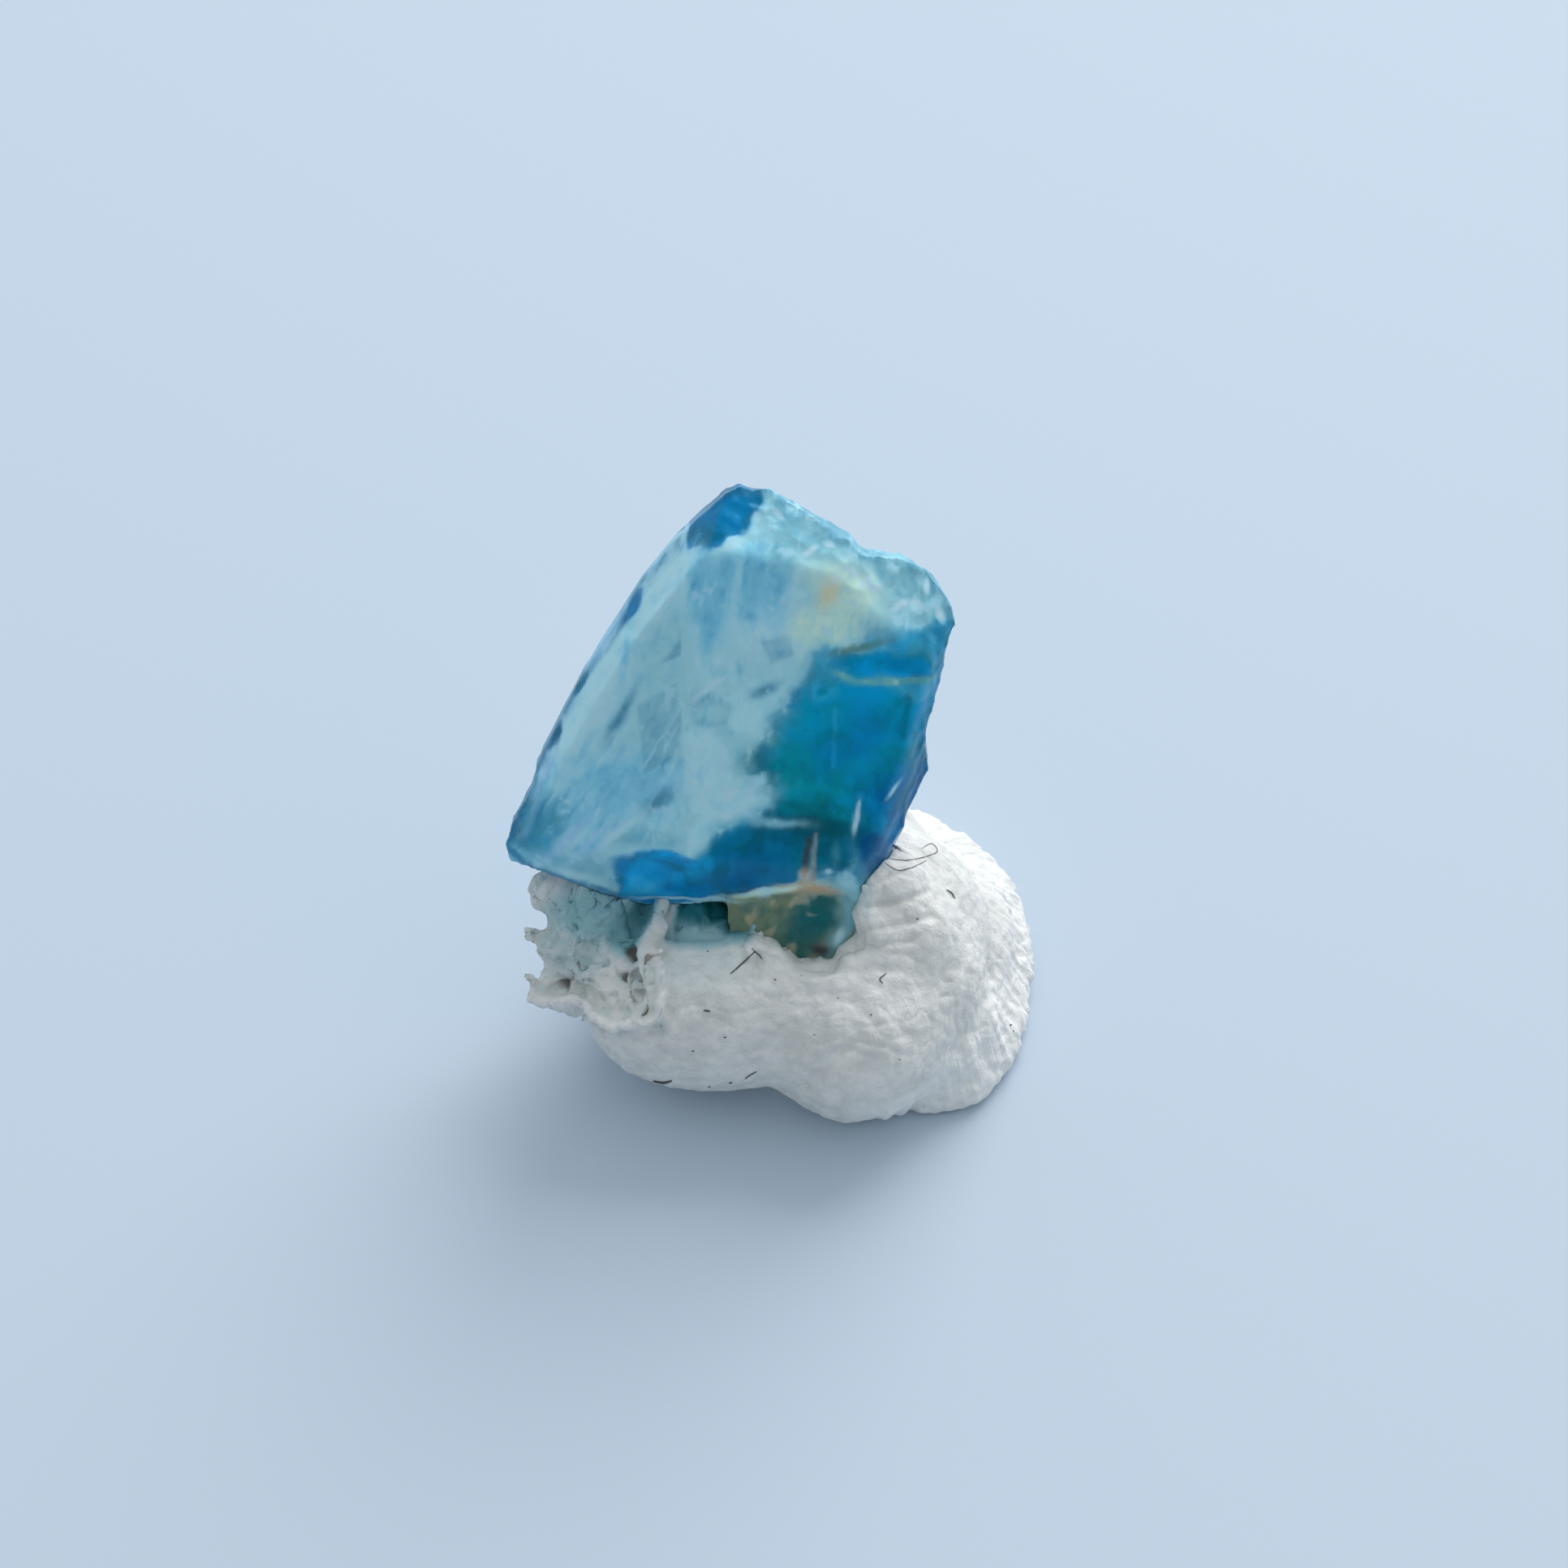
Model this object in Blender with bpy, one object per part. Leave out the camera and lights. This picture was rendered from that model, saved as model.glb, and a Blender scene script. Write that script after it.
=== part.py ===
"""A euclase cleavage fragment standing in a wad of white mounting putty.

Metres, +Z up, origin on the base under the middle of the object. The broad face of the crystal
looks along -Y and leans back. The crystal is first modelled upright in its own frame, where x runs
across the broad face, y runs away from it and z runs up it, with zero at the foot of the wedge.
"""

from math import cos, radians, sin, tau

import bmesh
import bpy
from mathutils import Matrix, Vector, noise

MM = 0.001

# Driving dimensions, in millimetres and degrees
LEAN = 35.0
CRYSTAL_FOOT = (0.0, 1.05, 3.58)
CRYSTAL_BACK = 3.6
RIDGE_X = -1.78
LEFT_FACE_SLOPE = 0.17
RIGHT_FACE_SLOPE = 0.09
CLEARANCE = 0.3
SOCKET_REACH = 3.2
SKIRT_PITCH = 0.48
SKIRT_TOOTH = 0.055
PUTTY_VOXEL = 0.36

# Outline of the fragment, seen square on to the broad face, clockwise from its top
CRYSTAL_OUTLINE = [
    (-0.66, 9.94),
    (-0.40, 9.85),
    (-0.07, 9.87),
    (0.97, 9.23),
    (1.53, 8.87),
    (1.83, 8.58),
    (2.61, 8.45),
    (3.13, 8.16),
    (3.51, 7.64),
    (3.75, 7.03),
    (3.61, 6.84),
    (3.51, 6.16),
    (3.13, 4.74),
    (3.23, 3.90),
    (2.80, 3.04),
    (2.61, 2.45),
    (2.28, 1.90),
    (1.20, 1.35),
    (-0.97, 1.28),
    (-1.77, 1.15),
    (-2.54, 1.08),
    (-3.20, 1.21),
    (-4.97, 1.90),
    (-5.41, 2.03),
    (-5.46, 2.38),
    (-5.35, 2.84),
    (-4.90, 3.66),
    (-4.83, 4.05),
    (-3.98, 5.75),
    (-3.40, 6.77),
    (-2.67, 7.92),
    (-2.03, 8.72),
    (-0.97, 9.82),
]

# Outline of the stained wedge under the fragment, most of it pushed into the putty
WEDGE_OUTLINE = [
    (2.30, 2.30),
    (2.11, 1.40),
    (1.91, 0.46),
    (1.45, -0.31),
    (0.63, -0.60),
    (-0.28, -0.31),
    (-0.81, 0.46),
    (-0.95, 1.10),
    (-0.97, 1.90),
    (0.60, 2.60),
]

# Bevelled faces: two points of the edge, depth of the edge, then inset and depth where the face ends
FRONT_BEVELS = [
    ((-4.83, 4.05), (-3.40, 6.77), 1.15, 0.42, 0.30),
    ((-3.40, 6.77), (-2.03, 8.72), 1.10, 0.42, 0.20),
    ((-2.03, 8.72), (-0.97, 9.82), 1.00, 0.50, 0.05),
    ((-1.50, 9.71), (0.20, 10.17), 0.50, 0.87, 0.05),
    ((-0.07, 9.87), (1.53, 8.87), 0.60, 0.45, 0.22),
    ((1.83, 8.58), (3.13, 8.16), 0.65, 0.35, 0.36),
    ((2.61, 8.45), (3.75, 7.03), 1.05, 1.00, 0.40),
    ((3.75, 7.03), (3.13, 4.74), 1.05, 0.40, 0.44),
    ((3.23, 3.90), (2.61, 2.45), 1.20, 0.55, 0.42),
    ((-5.41, 2.03), (-2.54, 1.08), 1.10, 0.95, 0.42),
    ((-2.54, 1.08), (2.28, 1.40), 0.70, 1.00, 0.18),
    ((-5.46, 2.38), (-4.83, 4.05), 1.20, 0.40, 0.52),
]
BACK_BEVELS = [
    ((-5.46, 2.38), (-3.98, 5.75), 1.75, 1.60, 2.55),
    ((-3.98, 5.75), (-0.97, 9.82), 1.70, 1.50, 2.85),
    ((-0.97, 9.82), (1.83, 8.58), 1.65, 1.90, 3.00),
    ((1.83, 8.58), (3.75, 7.03), 1.90, 1.40, 3.20),
    ((3.75, 7.03), (3.13, 4.74), 2.00, 0.90, 3.30),
    ((3.23, 3.90), (2.28, 1.90), 2.10, 0.90, 3.25),
    ((2.28, 1.35), (-2.54, 1.08), 2.30, 1.30, 3.10),
    ((-2.54, 1.08), (-5.41, 2.03), 1.90, 1.60, 2.70),
]

# Shell-shaped chips: centre, radii
CHIPS = [
    ((0.55, -0.05, 9.85), (0.55, 0.75, 0.40)),
    ((1.35, 0.10, 9.35), (0.60, 0.80, 0.45)),
    ((2.05, 0.00, 8.95), (0.70, 0.95, 0.62)),
    ((2.85, 0.15, 8.75), (0.65, 0.95, 0.60)),
    ((3.55, 0.15, 8.15), (0.62, 0.90, 0.60)),
    ((3.95, 0.25, 7.35), (0.55, 0.95, 0.55)),
    ((3.62, 0.55, 4.75), (0.55, 1.05, 0.90)),
    ((3.20, 0.60, 3.05), (0.50, 0.85, 0.60)),
    ((-5.35, 0.75, 3.55), (0.55, 0.60, 0.75)),
    ((-5.15, 0.55, 1.95), (0.65, 0.55, 0.35)),
    ((-0.25, 0.25, 10.15), (0.30, 0.70, 0.32)),
]

# Growth ledges on the two broad faces: two ends in (x, z), then width and height of the step
LEDGES = [
    ((-4.30, 3.10), (-2.75, 5.75), 0.42, 0.06),
    ((-3.80, 2.60), (-2.25, 5.40), 0.50, 0.06),
    ((-3.10, 2.20), (-2.05, 4.30), 0.44, 0.05),
    ((-3.00, 5.60), (-2.00, 7.45), 0.46, 0.05),
    ((-1.00, 3.90), (-0.95, 7.50), 0.60, 0.05),
    ((0.05, 3.30), (0.15, 6.60), 0.70, 0.06),
    ((1.05, 2.70), (1.60, 5.70), 0.60, 0.06),
    ((2.05, 2.60), (2.30, 4.60), 0.40, 0.05),
]

# Rounded masses of the putty: centre, radii
PUTTY_MASSES = [
    ((2.10, 3.50, 1.55), (2.50, 2.40, 2.65)),
    ((2.05, 2.30, 1.70), (2.45, 2.35, 2.25)),
    ((1.75, 1.20, 1.62), (2.05, 2.12, 2.02)),
    ((-1.25, 1.50, 2.00), (2.70, 1.88, 1.90)),
    ((-2.20, 1.60, 2.15), (1.78, 1.62, 1.60)),
    ((0.60, 1.85, 2.15), (1.80, 1.75, 1.70)),
    ((0.30, 5.00, 1.70), (3.20, 2.80, 2.30)),
    ((-1.60, 3.60, 1.80), (1.90, 2.20, 2.10)),
]

# Torn putty: crumbly masses, the lip that rims them, pits torn into them, and a stretched strand
TORN_MASSES = [
    ((-3.45, 2.55, 2.70), (1.40, 1.45, 1.20)),
    ((-4.62, 3.35, 3.35), (0.50, 0.46, 0.36)),
    ((-4.40, 1.85, 2.25), (0.62, 0.45, 0.42)),
    ((-4.15, 1.20, 2.35), (0.40, 0.36, 0.36)),
]
TORN_LIP = [
    ((-4.02, 1.10, 2.60), 0.16),
    ((-3.72, 0.72, 2.66), 0.20),
    ((-3.40, 0.46, 2.72), 0.22),
    ((-3.00, 0.36, 2.78), 0.22),
    ((-2.62, 0.36, 2.98), 0.19),
    ((-2.34, 0.52, 3.22), 0.20),
    ((-2.28, 0.90, 3.48), 0.17),
    ((-2.40, 1.30, 3.62), 0.15),
]
PITS = [
    ((-4.02, 2.35, 3.62), 0.24),
    ((-2.92, 1.80, 3.85), 0.26),
    ((-3.45, 1.10, 3.35), 0.24),
    ((-2.75, 1.05, 3.45), 0.20),
    ((-3.85, 1.65, 3.45), 0.20),
    ((-4.32, 1.40, 2.30), 0.27),
    ((-4.30, 2.80, 3.68), 0.20),
    ((-3.30, 2.40, 3.95), 0.30),
    ((-2.72, 0.78, 3.25), 0.14),
    ((-3.10, 1.40, 3.62), 0.18),
]
STRAND = [
    ((-2.62, 1.70, 3.10), 0.34),
    ((-2.50, 1.76, 3.55), 0.22),
    ((-2.40, 1.82, 3.85), 0.20),
    ((-2.30, 1.88, 4.15), 0.24),
]

# Outline of the skirt on the surface that the putty stands on
SKIRT_OUTLINE = [
    (5.50, 3.50),
    (5.40, 5.20),
    (4.75, 6.75),
    (3.45, 7.95),
    (1.60, 8.40),
    (-0.50, 7.80),
    (-2.10, 6.10),
    (-2.60, 4.00),
    (-1.90, 2.10),
    (-0.10, 0.90),
    (1.90, 0.15),
    (4.00, 0.10),
    (5.15, 1.55),
]
# Section of the skirt: share of the way out from its middle, height
SKIRT_SECTION = [(0.40, 1.60), (0.64, 1.36), (0.82, 0.98), (0.95, 0.60), (1.00, 0.26), (0.97, -0.40)]
SKIRT_MIDDLE = (1.50, 4.20)


def clear_scene():
    for obj in list(bpy.data.objects):
        bpy.data.objects.remove(obj)


def material(name, colour, roughness):
    made = bpy.data.materials.new(name)
    made.use_nodes = True
    shader = made.node_tree.nodes["Principled BSDF"]
    shader.inputs["Base Color"].default_value = (*colour, 1.0)
    shader.inputs["Roughness"].default_value = roughness
    shader.inputs["Metallic"].default_value = 0.0
    return made


def object_of(name, bm, parent, finish=None, collection=None):
    """Puts a bmesh in the scene as an object. Without a finish it is a cutter."""
    bmesh.ops.recalc_face_normals(bm, faces=bm.faces[:])
    mesh = bpy.data.meshes.new(name)
    bm.to_mesh(mesh)
    bm.free()
    obj = bpy.data.objects.new(name, mesh)
    (collection or bpy.context.scene.collection).objects.link(obj)
    obj.parent = parent
    if finish:
        mesh.materials.append(finish)
    else:
        obj.hide_render = True
        obj.display_type = "WIRE"
    return obj


def collection_of(name):
    made = bpy.data.collections.new(name)
    bpy.context.scene.collection.children.link(made)
    return made


def boolean(obj, operation, other):
    modifier = obj.modifiers.new(operation.title(), "BOOLEAN")
    modifier.operation = operation
    modifier.solver = "EXACT"
    if isinstance(other, bpy.types.Collection):
        modifier.operand_type = "COLLECTION"
        modifier.collection = other
    else:
        modifier.object = other


def prism(outline, front, back):
    """A solid with this outline in x and z, from one depth to another along y."""
    bm = bmesh.new()
    face = bm.faces.new([bm.verts.new((x * MM, front * MM, z * MM)) for x, z in outline])
    grown = bmesh.ops.extrude_face_region(bm, geom=[face])
    moved = [part for part in grown["geom"] if isinstance(part, bmesh.types.BMVert)]
    bmesh.ops.translate(bm, verts=moved, vec=(0.0, (back - front) * MM, 0.0))
    bmesh.ops.recalc_face_normals(bm, faces=bm.faces[:])
    return bm


def cut_off(bm, point, normal):
    """Cuts the solid with a plane and keeps what lies behind the normal."""
    everything = bm.verts[:] + bm.edges[:] + bm.faces[:]
    cut = bmesh.ops.bisect_plane(
        bm, geom=everything, dist=1e-8, plane_co=point, plane_no=normal, clear_outer=True
    )
    rim = [part for part in cut["geom_cut"] if isinstance(part, bmesh.types.BMEdge)]
    if rim:
        bmesh.ops.edgeloop_fill(bm, edges=rim)


def bevel_face(bm, start, end, edge_depth, inset, face_depth, middle):
    """Cuts one bevelled face along the edge from start to end of the outline."""
    start = Vector((start[0], edge_depth, start[1])) * MM
    end = Vector((end[0], edge_depth, end[1])) * MM
    along = (end - start).normalized()
    inward = along.cross(Vector((0.0, 1.0, 0.0)))
    if inward.dot(middle - start) < 0:
        inward.negate()
    inner = (start + end) / 2 + inward * inset * MM
    inner.y = face_depth * MM
    normal = along.cross(inner - start).normalized()
    if normal.dot(middle - start) > 0:
        normal.negate()
    cut_off(bm, start, normal)


def ellipsoid(centre, radii, subdivisions=3):
    bm = bmesh.new()
    place = Matrix.Translation(Vector(centre) * MM) @ Matrix.Diagonal((*(Vector(radii) * MM), 1.0))
    bmesh.ops.create_icosphere(bm, subdivisions=subdivisions, radius=1.0, matrix=place)
    return bm


def joined(parts):
    """One bmesh from several."""
    whole = bmesh.new()
    for part in parts:
        mesh = bpy.data.meshes.new("part")
        part.to_mesh(mesh)
        part.free()
        whole.from_mesh(mesh)
        bpy.data.meshes.remove(mesh)
    return whole


def crystal_frame(parent):
    """The crystal's own frame: it leans back about the foot of the wedge."""
    lean = bpy.data.objects.new("crystal_frame", None)
    bpy.context.scene.collection.objects.link(lean)
    lean.location = Vector(CRYSTAL_FOOT) * MM
    lean.rotation_euler.x = -radians(LEAN)
    lean.parent = parent
    return lean


def crystal_body():
    """The fragment above its wedge: a slab of the outline, cut to flat faces front and back."""
    bm = prism(CRYSTAL_OUTLINE, -0.2, CRYSTAL_BACK)
    middle = Vector((-0.8, 1.6, 5.3)) * MM
    ridge = Vector((RIDGE_X * MM, 0.0, 0.0))
    cut_off(bm, ridge, Vector((-LEFT_FACE_SLOPE, -1.0, 0.0)))
    cut_off(bm, ridge, Vector((RIGHT_FACE_SLOPE, -1.0, 0.0)))
    cut_off(bm, Vector((0.0, 3.25, 0.0)) * MM, Vector((0.04, 1.0, 0.03)))
    for start, end, edge_depth, inset, face_depth in FRONT_BEVELS + BACK_BEVELS:
        bevel_face(bm, start, end, edge_depth, inset, face_depth, middle)
    return bm


def crystal_wedge():
    """The stained wedge, whose face slopes back as it goes down."""
    bm = prism(WEDGE_OUTLINE, 0.1, 2.7)
    cut_off(bm, Vector((0.0, 0.50, 1.5)) * MM, Vector((0.10, -1.0, -0.24)))
    cut_off(bm, Vector((1.75, 0.70, 1.0)) * MM, Vector((1.0, -0.75, -0.10)))
    cut_off(bm, Vector((0.0, 2.40, 0.0)) * MM, Vector((0.05, 1.0, -0.45)))
    return bm


def ledge_bar(start, end, width, step):
    """A bar with a sloping underside, which cuts one low ledge into a broad face."""
    a = Vector((start[0], 0.0, start[1]))
    b = Vector((end[0], 0.0, end[1]))
    across = (b - a).normalized().cross(Vector((0.0, 1.0, 0.0))) * width / 2
    section = [(1.0, -0.3), (1.0, step), (-1.0, -0.01), (-1.0, -0.3)]
    bm = bmesh.new()
    rings = []
    for end_point in (a, b):
        ring = []
        for side, y in section:
            point = end_point + across * side
            slope = LEFT_FACE_SLOPE if point.x < RIDGE_X else RIGHT_FACE_SLOPE
            point.y = abs(point.x - RIDGE_X) * slope + y
            ring.append(bm.verts.new(point * MM))
        rings.append(ring)
    bm.faces.new(rings[0])
    bm.faces.new(reversed(rings[1]))
    for i in range(4):
        j = (i + 1) % 4
        bm.faces.new((rings[0][i], rings[0][j], rings[1][j], rings[1][i]))
    return bm


def make_crystal(parent):
    frame = crystal_frame(parent)
    crystal = object_of(
        "euclase_crystal", crystal_body(), frame, material("euclase", (0.09, 0.38, 0.52), 0.12)
    )
    boolean(crystal, "UNION", object_of("wedge", crystal_wedge(), frame))
    cutters = collection_of("crystal_cutters")
    for i, (centre, radii) in enumerate(CHIPS):
        object_of(f"chip_{i}", ellipsoid(centre, radii, 2), frame, collection=cutters)
    for i, ledge in enumerate(LEDGES):
        object_of(f"ledge_{i}", ledge_bar(*ledge), frame, collection=cutters)
    boolean(crystal, "DIFFERENCE", cutters)
    return crystal, frame


def socket(crystal):
    """The hollow that the fragment leaves in the putty: its lower end, larger by the clearance."""
    bpy.context.view_layer.update()
    ready = crystal.evaluated_get(bpy.context.evaluated_depsgraph_get())
    bm = bmesh.new()
    for vert in ready.data.vertices:
        if vert.co.z < SOCKET_REACH * MM:
            bm.verts.new(vert.co)
    bmesh.ops.remove_doubles(bm, verts=bm.verts[:], dist=1e-5)
    bmesh.ops.convex_hull(bm, input=bm.verts[:])
    loose = [vert for vert in bm.verts if not vert.link_faces]
    bmesh.ops.delete(bm, geom=loose, context="VERTS")
    bmesh.ops.recalc_face_normals(bm, faces=bm.faces[:])
    bm.normal_update()
    moves = [vert.normal * min(vert.calc_shell_factor(), 1.6) for vert in bm.verts]
    for vert, move in zip(bm.verts, moves):
        vert.co += move * CLEARANCE * MM
    return bm


def crumbled(centre, radii, seed):
    """A torn mass: an ellipsoid with a crumbly surface."""
    bm = ellipsoid(centre, radii, 4 if max(radii) > 1.0 else 3)
    middle = Vector(centre) * MM
    for vert in bm.verts:
        place = vert.co / MM + Vector((seed, 0.0, 0.0))
        rough = noise.noise(place * 1.5) * 0.20 + noise.noise(place * 3.3) * 0.15
        vert.co = middle + (vert.co - middle) * (1.0 + rough)
    return bm


def tube(stations, sides=9):
    """A closed strand through stations of centre and radius."""
    bm = bmesh.new()
    centres = [Vector(centre) for centre, radius in stations]
    rings = []
    for i, (centre, radius) in enumerate(stations):
        along = centres[min(i + 1, len(centres) - 1)] - centres[max(i - 1, 0)]
        turn_to_path = along.to_track_quat("Z", "Y")
        ring = []
        for k in range(sides):
            turn = tau * k / sides
            offset = turn_to_path @ Vector((cos(turn), sin(turn), 0.0)) * radius
            ring.append(bm.verts.new((centres[i] + offset) * MM))
        rings.append(ring)
    for low, high in zip(rings, rings[1:]):
        for i in range(sides):
            j = (i + 1) % sides
            bm.faces.new((low[i], low[j], high[j], high[i]))
    bm.faces.new(rings[0])
    bm.faces.new(rings[-1])
    return bm


def smooth_loop(points, share):
    """A point on the smooth closed curve through the points, at a share of the way round."""
    count = len(points)
    place = share * count
    i = int(place)
    t = place - i
    a, b, c, d = (Vector(points[(i + k) % count]) for k in (-1, 0, 1, 2))
    curve = b * 2 + (c - a) * t + (a * 2 - b * 5 + c * 4 - d) * t**2 + (b * 3 - a - c * 3 + d) * t**3
    return curve / 2


def skirt():
    """The flared skirt, fluted all round, thinning out to its rim."""
    around = [smooth_loop(SKIRT_OUTLINE, k / 400) for k in range(400)]
    length = sum((b - a).length for a, b in zip(around, around[1:] + around[:1]))
    flutes = round(length / SKIRT_PITCH)
    steps = flutes * 4
    middle = Vector(SKIRT_MIDDLE)
    bm = bmesh.new()
    rings = []
    for share, height in SKIRT_SECTION:
        ring = []
        for k in range(steps):
            wave = cos(tau * k / 4) * (1.0 + 0.9 * noise.noise(Vector((k * 0.21, share, 0.0))))
            reach = (smooth_loop(SKIRT_OUTLINE, k / steps) - middle) * share
            tooth = SKIRT_TOOTH * wave * share**2
            outward = reach.normalized() * tooth
            lift = 1.2 * tooth if height > 0 else 0.0
            point = middle + reach + outward
            ring.append(bm.verts.new(Vector((point.x, point.y, height + lift)) * MM))
        rings.append(ring)
    for upper, lower in zip(rings, rings[1:]):
        for i in range(steps):
            j = (i + 1) % steps
            bm.faces.new((upper[i], upper[j], lower[j], lower[i]))
    bm.faces.new(rings[0])
    bm.faces.new(rings[-1])
    return bm


def make_putty(parent, crystal, crystal_place):
    masses = joined([ellipsoid(centre, radii) for centre, radii in PUTTY_MASSES])
    putty = object_of("putty_mount", masses, parent, material("putty", (0.60, 0.62, 0.61), 0.62))
    fuse = putty.modifiers.new("Fuse", "REMESH")
    fuse.mode = "VOXEL"
    fuse.voxel_size = PUTTY_VOXEL * MM
    fuse.use_smooth_shade = True
    ease = putty.modifiers.new("Ease", "SMOOTH")
    ease.factor = 0.5
    ease.iterations = 5
    grown_on = collection_of("putty_growths")
    object_of("skirt", skirt(), parent, collection=grown_on)
    for i, (centre, radii) in enumerate(TORN_MASSES):
        object_of(f"torn_{i}", crumbled(centre, radii, i * 7.3), parent, collection=grown_on)
    object_of("strand", tube(STRAND), parent, collection=grown_on)
    object_of("torn_lip", tube(TORN_LIP), parent, collection=grown_on)
    boolean(putty, "UNION", grown_on)
    cutters = collection_of("putty_cutters")
    for i, (centre, radius) in enumerate(PITS):
        object_of(f"pit_{i}", ellipsoid(centre, (radius,) * 3, 2), parent, collection=cutters)
    object_of("socket", socket(crystal), crystal_place, collection=cutters)
    floor = prism([(-9.0, -4.0), (9.0, -4.0), (9.0, 0.0), (-9.0, 0.0)], -6.0, 14.0)
    object_of("floor_cut", floor, parent, collection=cutters)
    boolean(putty, "DIFFERENCE", cutters)
    return putty


def centre_on_base(frame, pieces):
    """Moves the object so that its box is centred over the origin."""
    bpy.context.view_layer.update()
    graph = bpy.context.evaluated_depsgraph_get()
    corners = []
    for piece in pieces:
        ready = piece.evaluated_get(graph)
        corners += [ready.matrix_world @ vert.co for vert in ready.data.vertices]
    for axis in (0, 1):
        values = [corner[axis] for corner in corners]
        frame.location[axis] -= (min(values) + max(values)) / 2


def main():
    clear_scene()
    frame = bpy.data.objects.new("object_frame", None)
    bpy.context.scene.collection.objects.link(frame)
    crystal, crystal_place = make_crystal(frame)
    putty = make_putty(frame, crystal, crystal_place)
    centre_on_base(frame, [crystal, putty])


main()
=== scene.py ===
"""Looks of a euclase fragment that stands in a wad of white mounting putty.

Lengths are millimetres until a mesh, a light or the camera is placed. The drawing frame is the one the
object was laid out in: X to the right, Y away from the viewer, Z up, zero on the surface it stands on.
The crystal's own frame leans back with it: x across its broad face, y into it and z up it.
A place in the picture is given as millimetres right of and above its middle, at the target's distance.
"""

from math import cos, pi, radians, sin, tau

import bmesh
import bpy
import numpy as np
from mathutils import Matrix, Vector, noise
from mathutils.bvhtree import BVHTree
from mathutils.kdtree import KDTree


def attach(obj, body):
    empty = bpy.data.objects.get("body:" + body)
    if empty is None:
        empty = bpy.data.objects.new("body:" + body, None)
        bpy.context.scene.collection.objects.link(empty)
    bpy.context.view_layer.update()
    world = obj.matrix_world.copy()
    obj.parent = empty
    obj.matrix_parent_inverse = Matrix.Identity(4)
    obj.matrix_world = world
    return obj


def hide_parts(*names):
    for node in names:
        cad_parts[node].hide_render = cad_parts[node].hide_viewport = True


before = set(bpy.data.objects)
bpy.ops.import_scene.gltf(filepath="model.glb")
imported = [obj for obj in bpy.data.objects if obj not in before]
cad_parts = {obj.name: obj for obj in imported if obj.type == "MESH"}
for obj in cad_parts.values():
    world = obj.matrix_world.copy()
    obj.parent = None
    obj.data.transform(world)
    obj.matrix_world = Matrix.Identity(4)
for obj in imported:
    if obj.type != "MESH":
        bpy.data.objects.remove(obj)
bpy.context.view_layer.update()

MM = 0.001
BOX_MIDDLE = Vector((0.0632, 3.8105, 0.0))  # under the middle of the object's box, in the drawing frame
CRYSTAL_FOOT = Vector((0.0, 1.05, 3.58))
LEAN = radians(35.0)
RIDGE_X = -1.78  # the ridge between the crystal's two broad faces
STRIAE_TURN = radians(29.4)  # lean of the striations on the left face

CAMERA_ELEVATION = radians(50.0)
CAMERA_DISTANCE = 160.0
CAMERA_TARGET = np.array((0.23, 3.716, 6.384))
PICTURE_WIDTH = 31.88
SENSOR_WIDTH = 36.0

# The picture's own directions in the drawing frame
RIGHT = np.array((1.0, 0.0, 0.0))
UP = np.array((0.0, sin(CAMERA_ELEVATION), cos(CAMERA_ELEVATION)))
VIEW = np.array((0.0, cos(CAMERA_ELEVATION), -sin(CAMERA_ELEVATION)))
CAMERA_PLACE = CAMERA_TARGET - CAMERA_DISTANCE * VIEW

CRYSTAL_VOXEL = 0.056
PUTTY_VOXEL = 0.066
TOUCHING = 1e-4  # corners this near each other are one
SCALLOP_TRIES = 4000  # chipped points tried as the middle of a scallop
COLOUR_GAIN = 1.9  # how much lighter the crystal's colours go in than they look
LIGHTEST = 0.95

TO_MM = Matrix.Scale(1.0 / MM, 4)
TO_METRES = Matrix.Scale(MM, 4)
drawing_place = Matrix.Translation(-BOX_MIDDLE * MM)
crystal_place = drawing_place @ Matrix.Translation(CRYSTAL_FOOT * MM) @ Matrix.Rotation(-LEAN, 4, "X")

# Edges of the crystal where it is chipped, in x and z, and how far the chipping reaches in
BROKEN_EDGES = [
    ([(-0.66, 9.94), (-0.07, 9.87), (0.97, 9.23), (1.83, 8.58), (3.13, 8.16), (3.75, 7.03)], 1.25),
    ([(3.75, 7.03), (3.51, 6.16), (3.13, 4.74), (3.23, 3.90), (2.61, 2.45)], 0.45),
    ([(-4.83, 4.05), (-5.46, 2.38), (-4.97, 1.90), (-2.54, 1.08), (-0.97, 1.28)], 0.40),
]

# Putty pressed up round the stained wedge and stretched to the crystal: centre, radii
FILLS = [
    ((2.65, 2.95, 3.50), (0.65, 1.15, 1.10)),
    ((2.25, 2.00, 3.35), (0.60, 0.80, 0.85)),
    ((2.95, 2.45, 3.15), (0.95, 1.25, 0.95)),
    ((3.15, 3.90, 0.95), (1.95, 2.45, 1.30)),
    ((3.00, 2.00, 0.95), (1.75, 1.90, 1.25)),
    ((-4.62, 3.10, 3.55), (0.40, 0.38, 0.32)),
    ((-3.55, 2.75, 3.45), (1.05, 1.00, 0.62)),
    ((-5.00, 2.50, 3.05), (0.22, 0.26, 0.20)),
    ((-4.76, 1.40, 2.50), (0.30, 0.28, 0.24)),
    ((-4.98, 1.60, 2.72), (0.18, 0.18, 0.16)),
    ((-1.35, 2.45, 2.95), (1.35, 1.20, 0.86)),
    ((-2.95, 2.60, 2.95), (1.00, 1.10, 0.80)),
    ((-0.74, 1.80, 3.56), (0.30, 0.30, 0.34)),
]
# Where the putty gives way in front of the wedge: middle, reach, how it moves
DENTS = [
    ((0.85, 1.70, 3.62), 0.85, (0.0, -0.05, -0.42)),
    ((1.55, 1.80, 3.80), 0.45, (0.18, 0.0, -0.10)),
]
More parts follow.
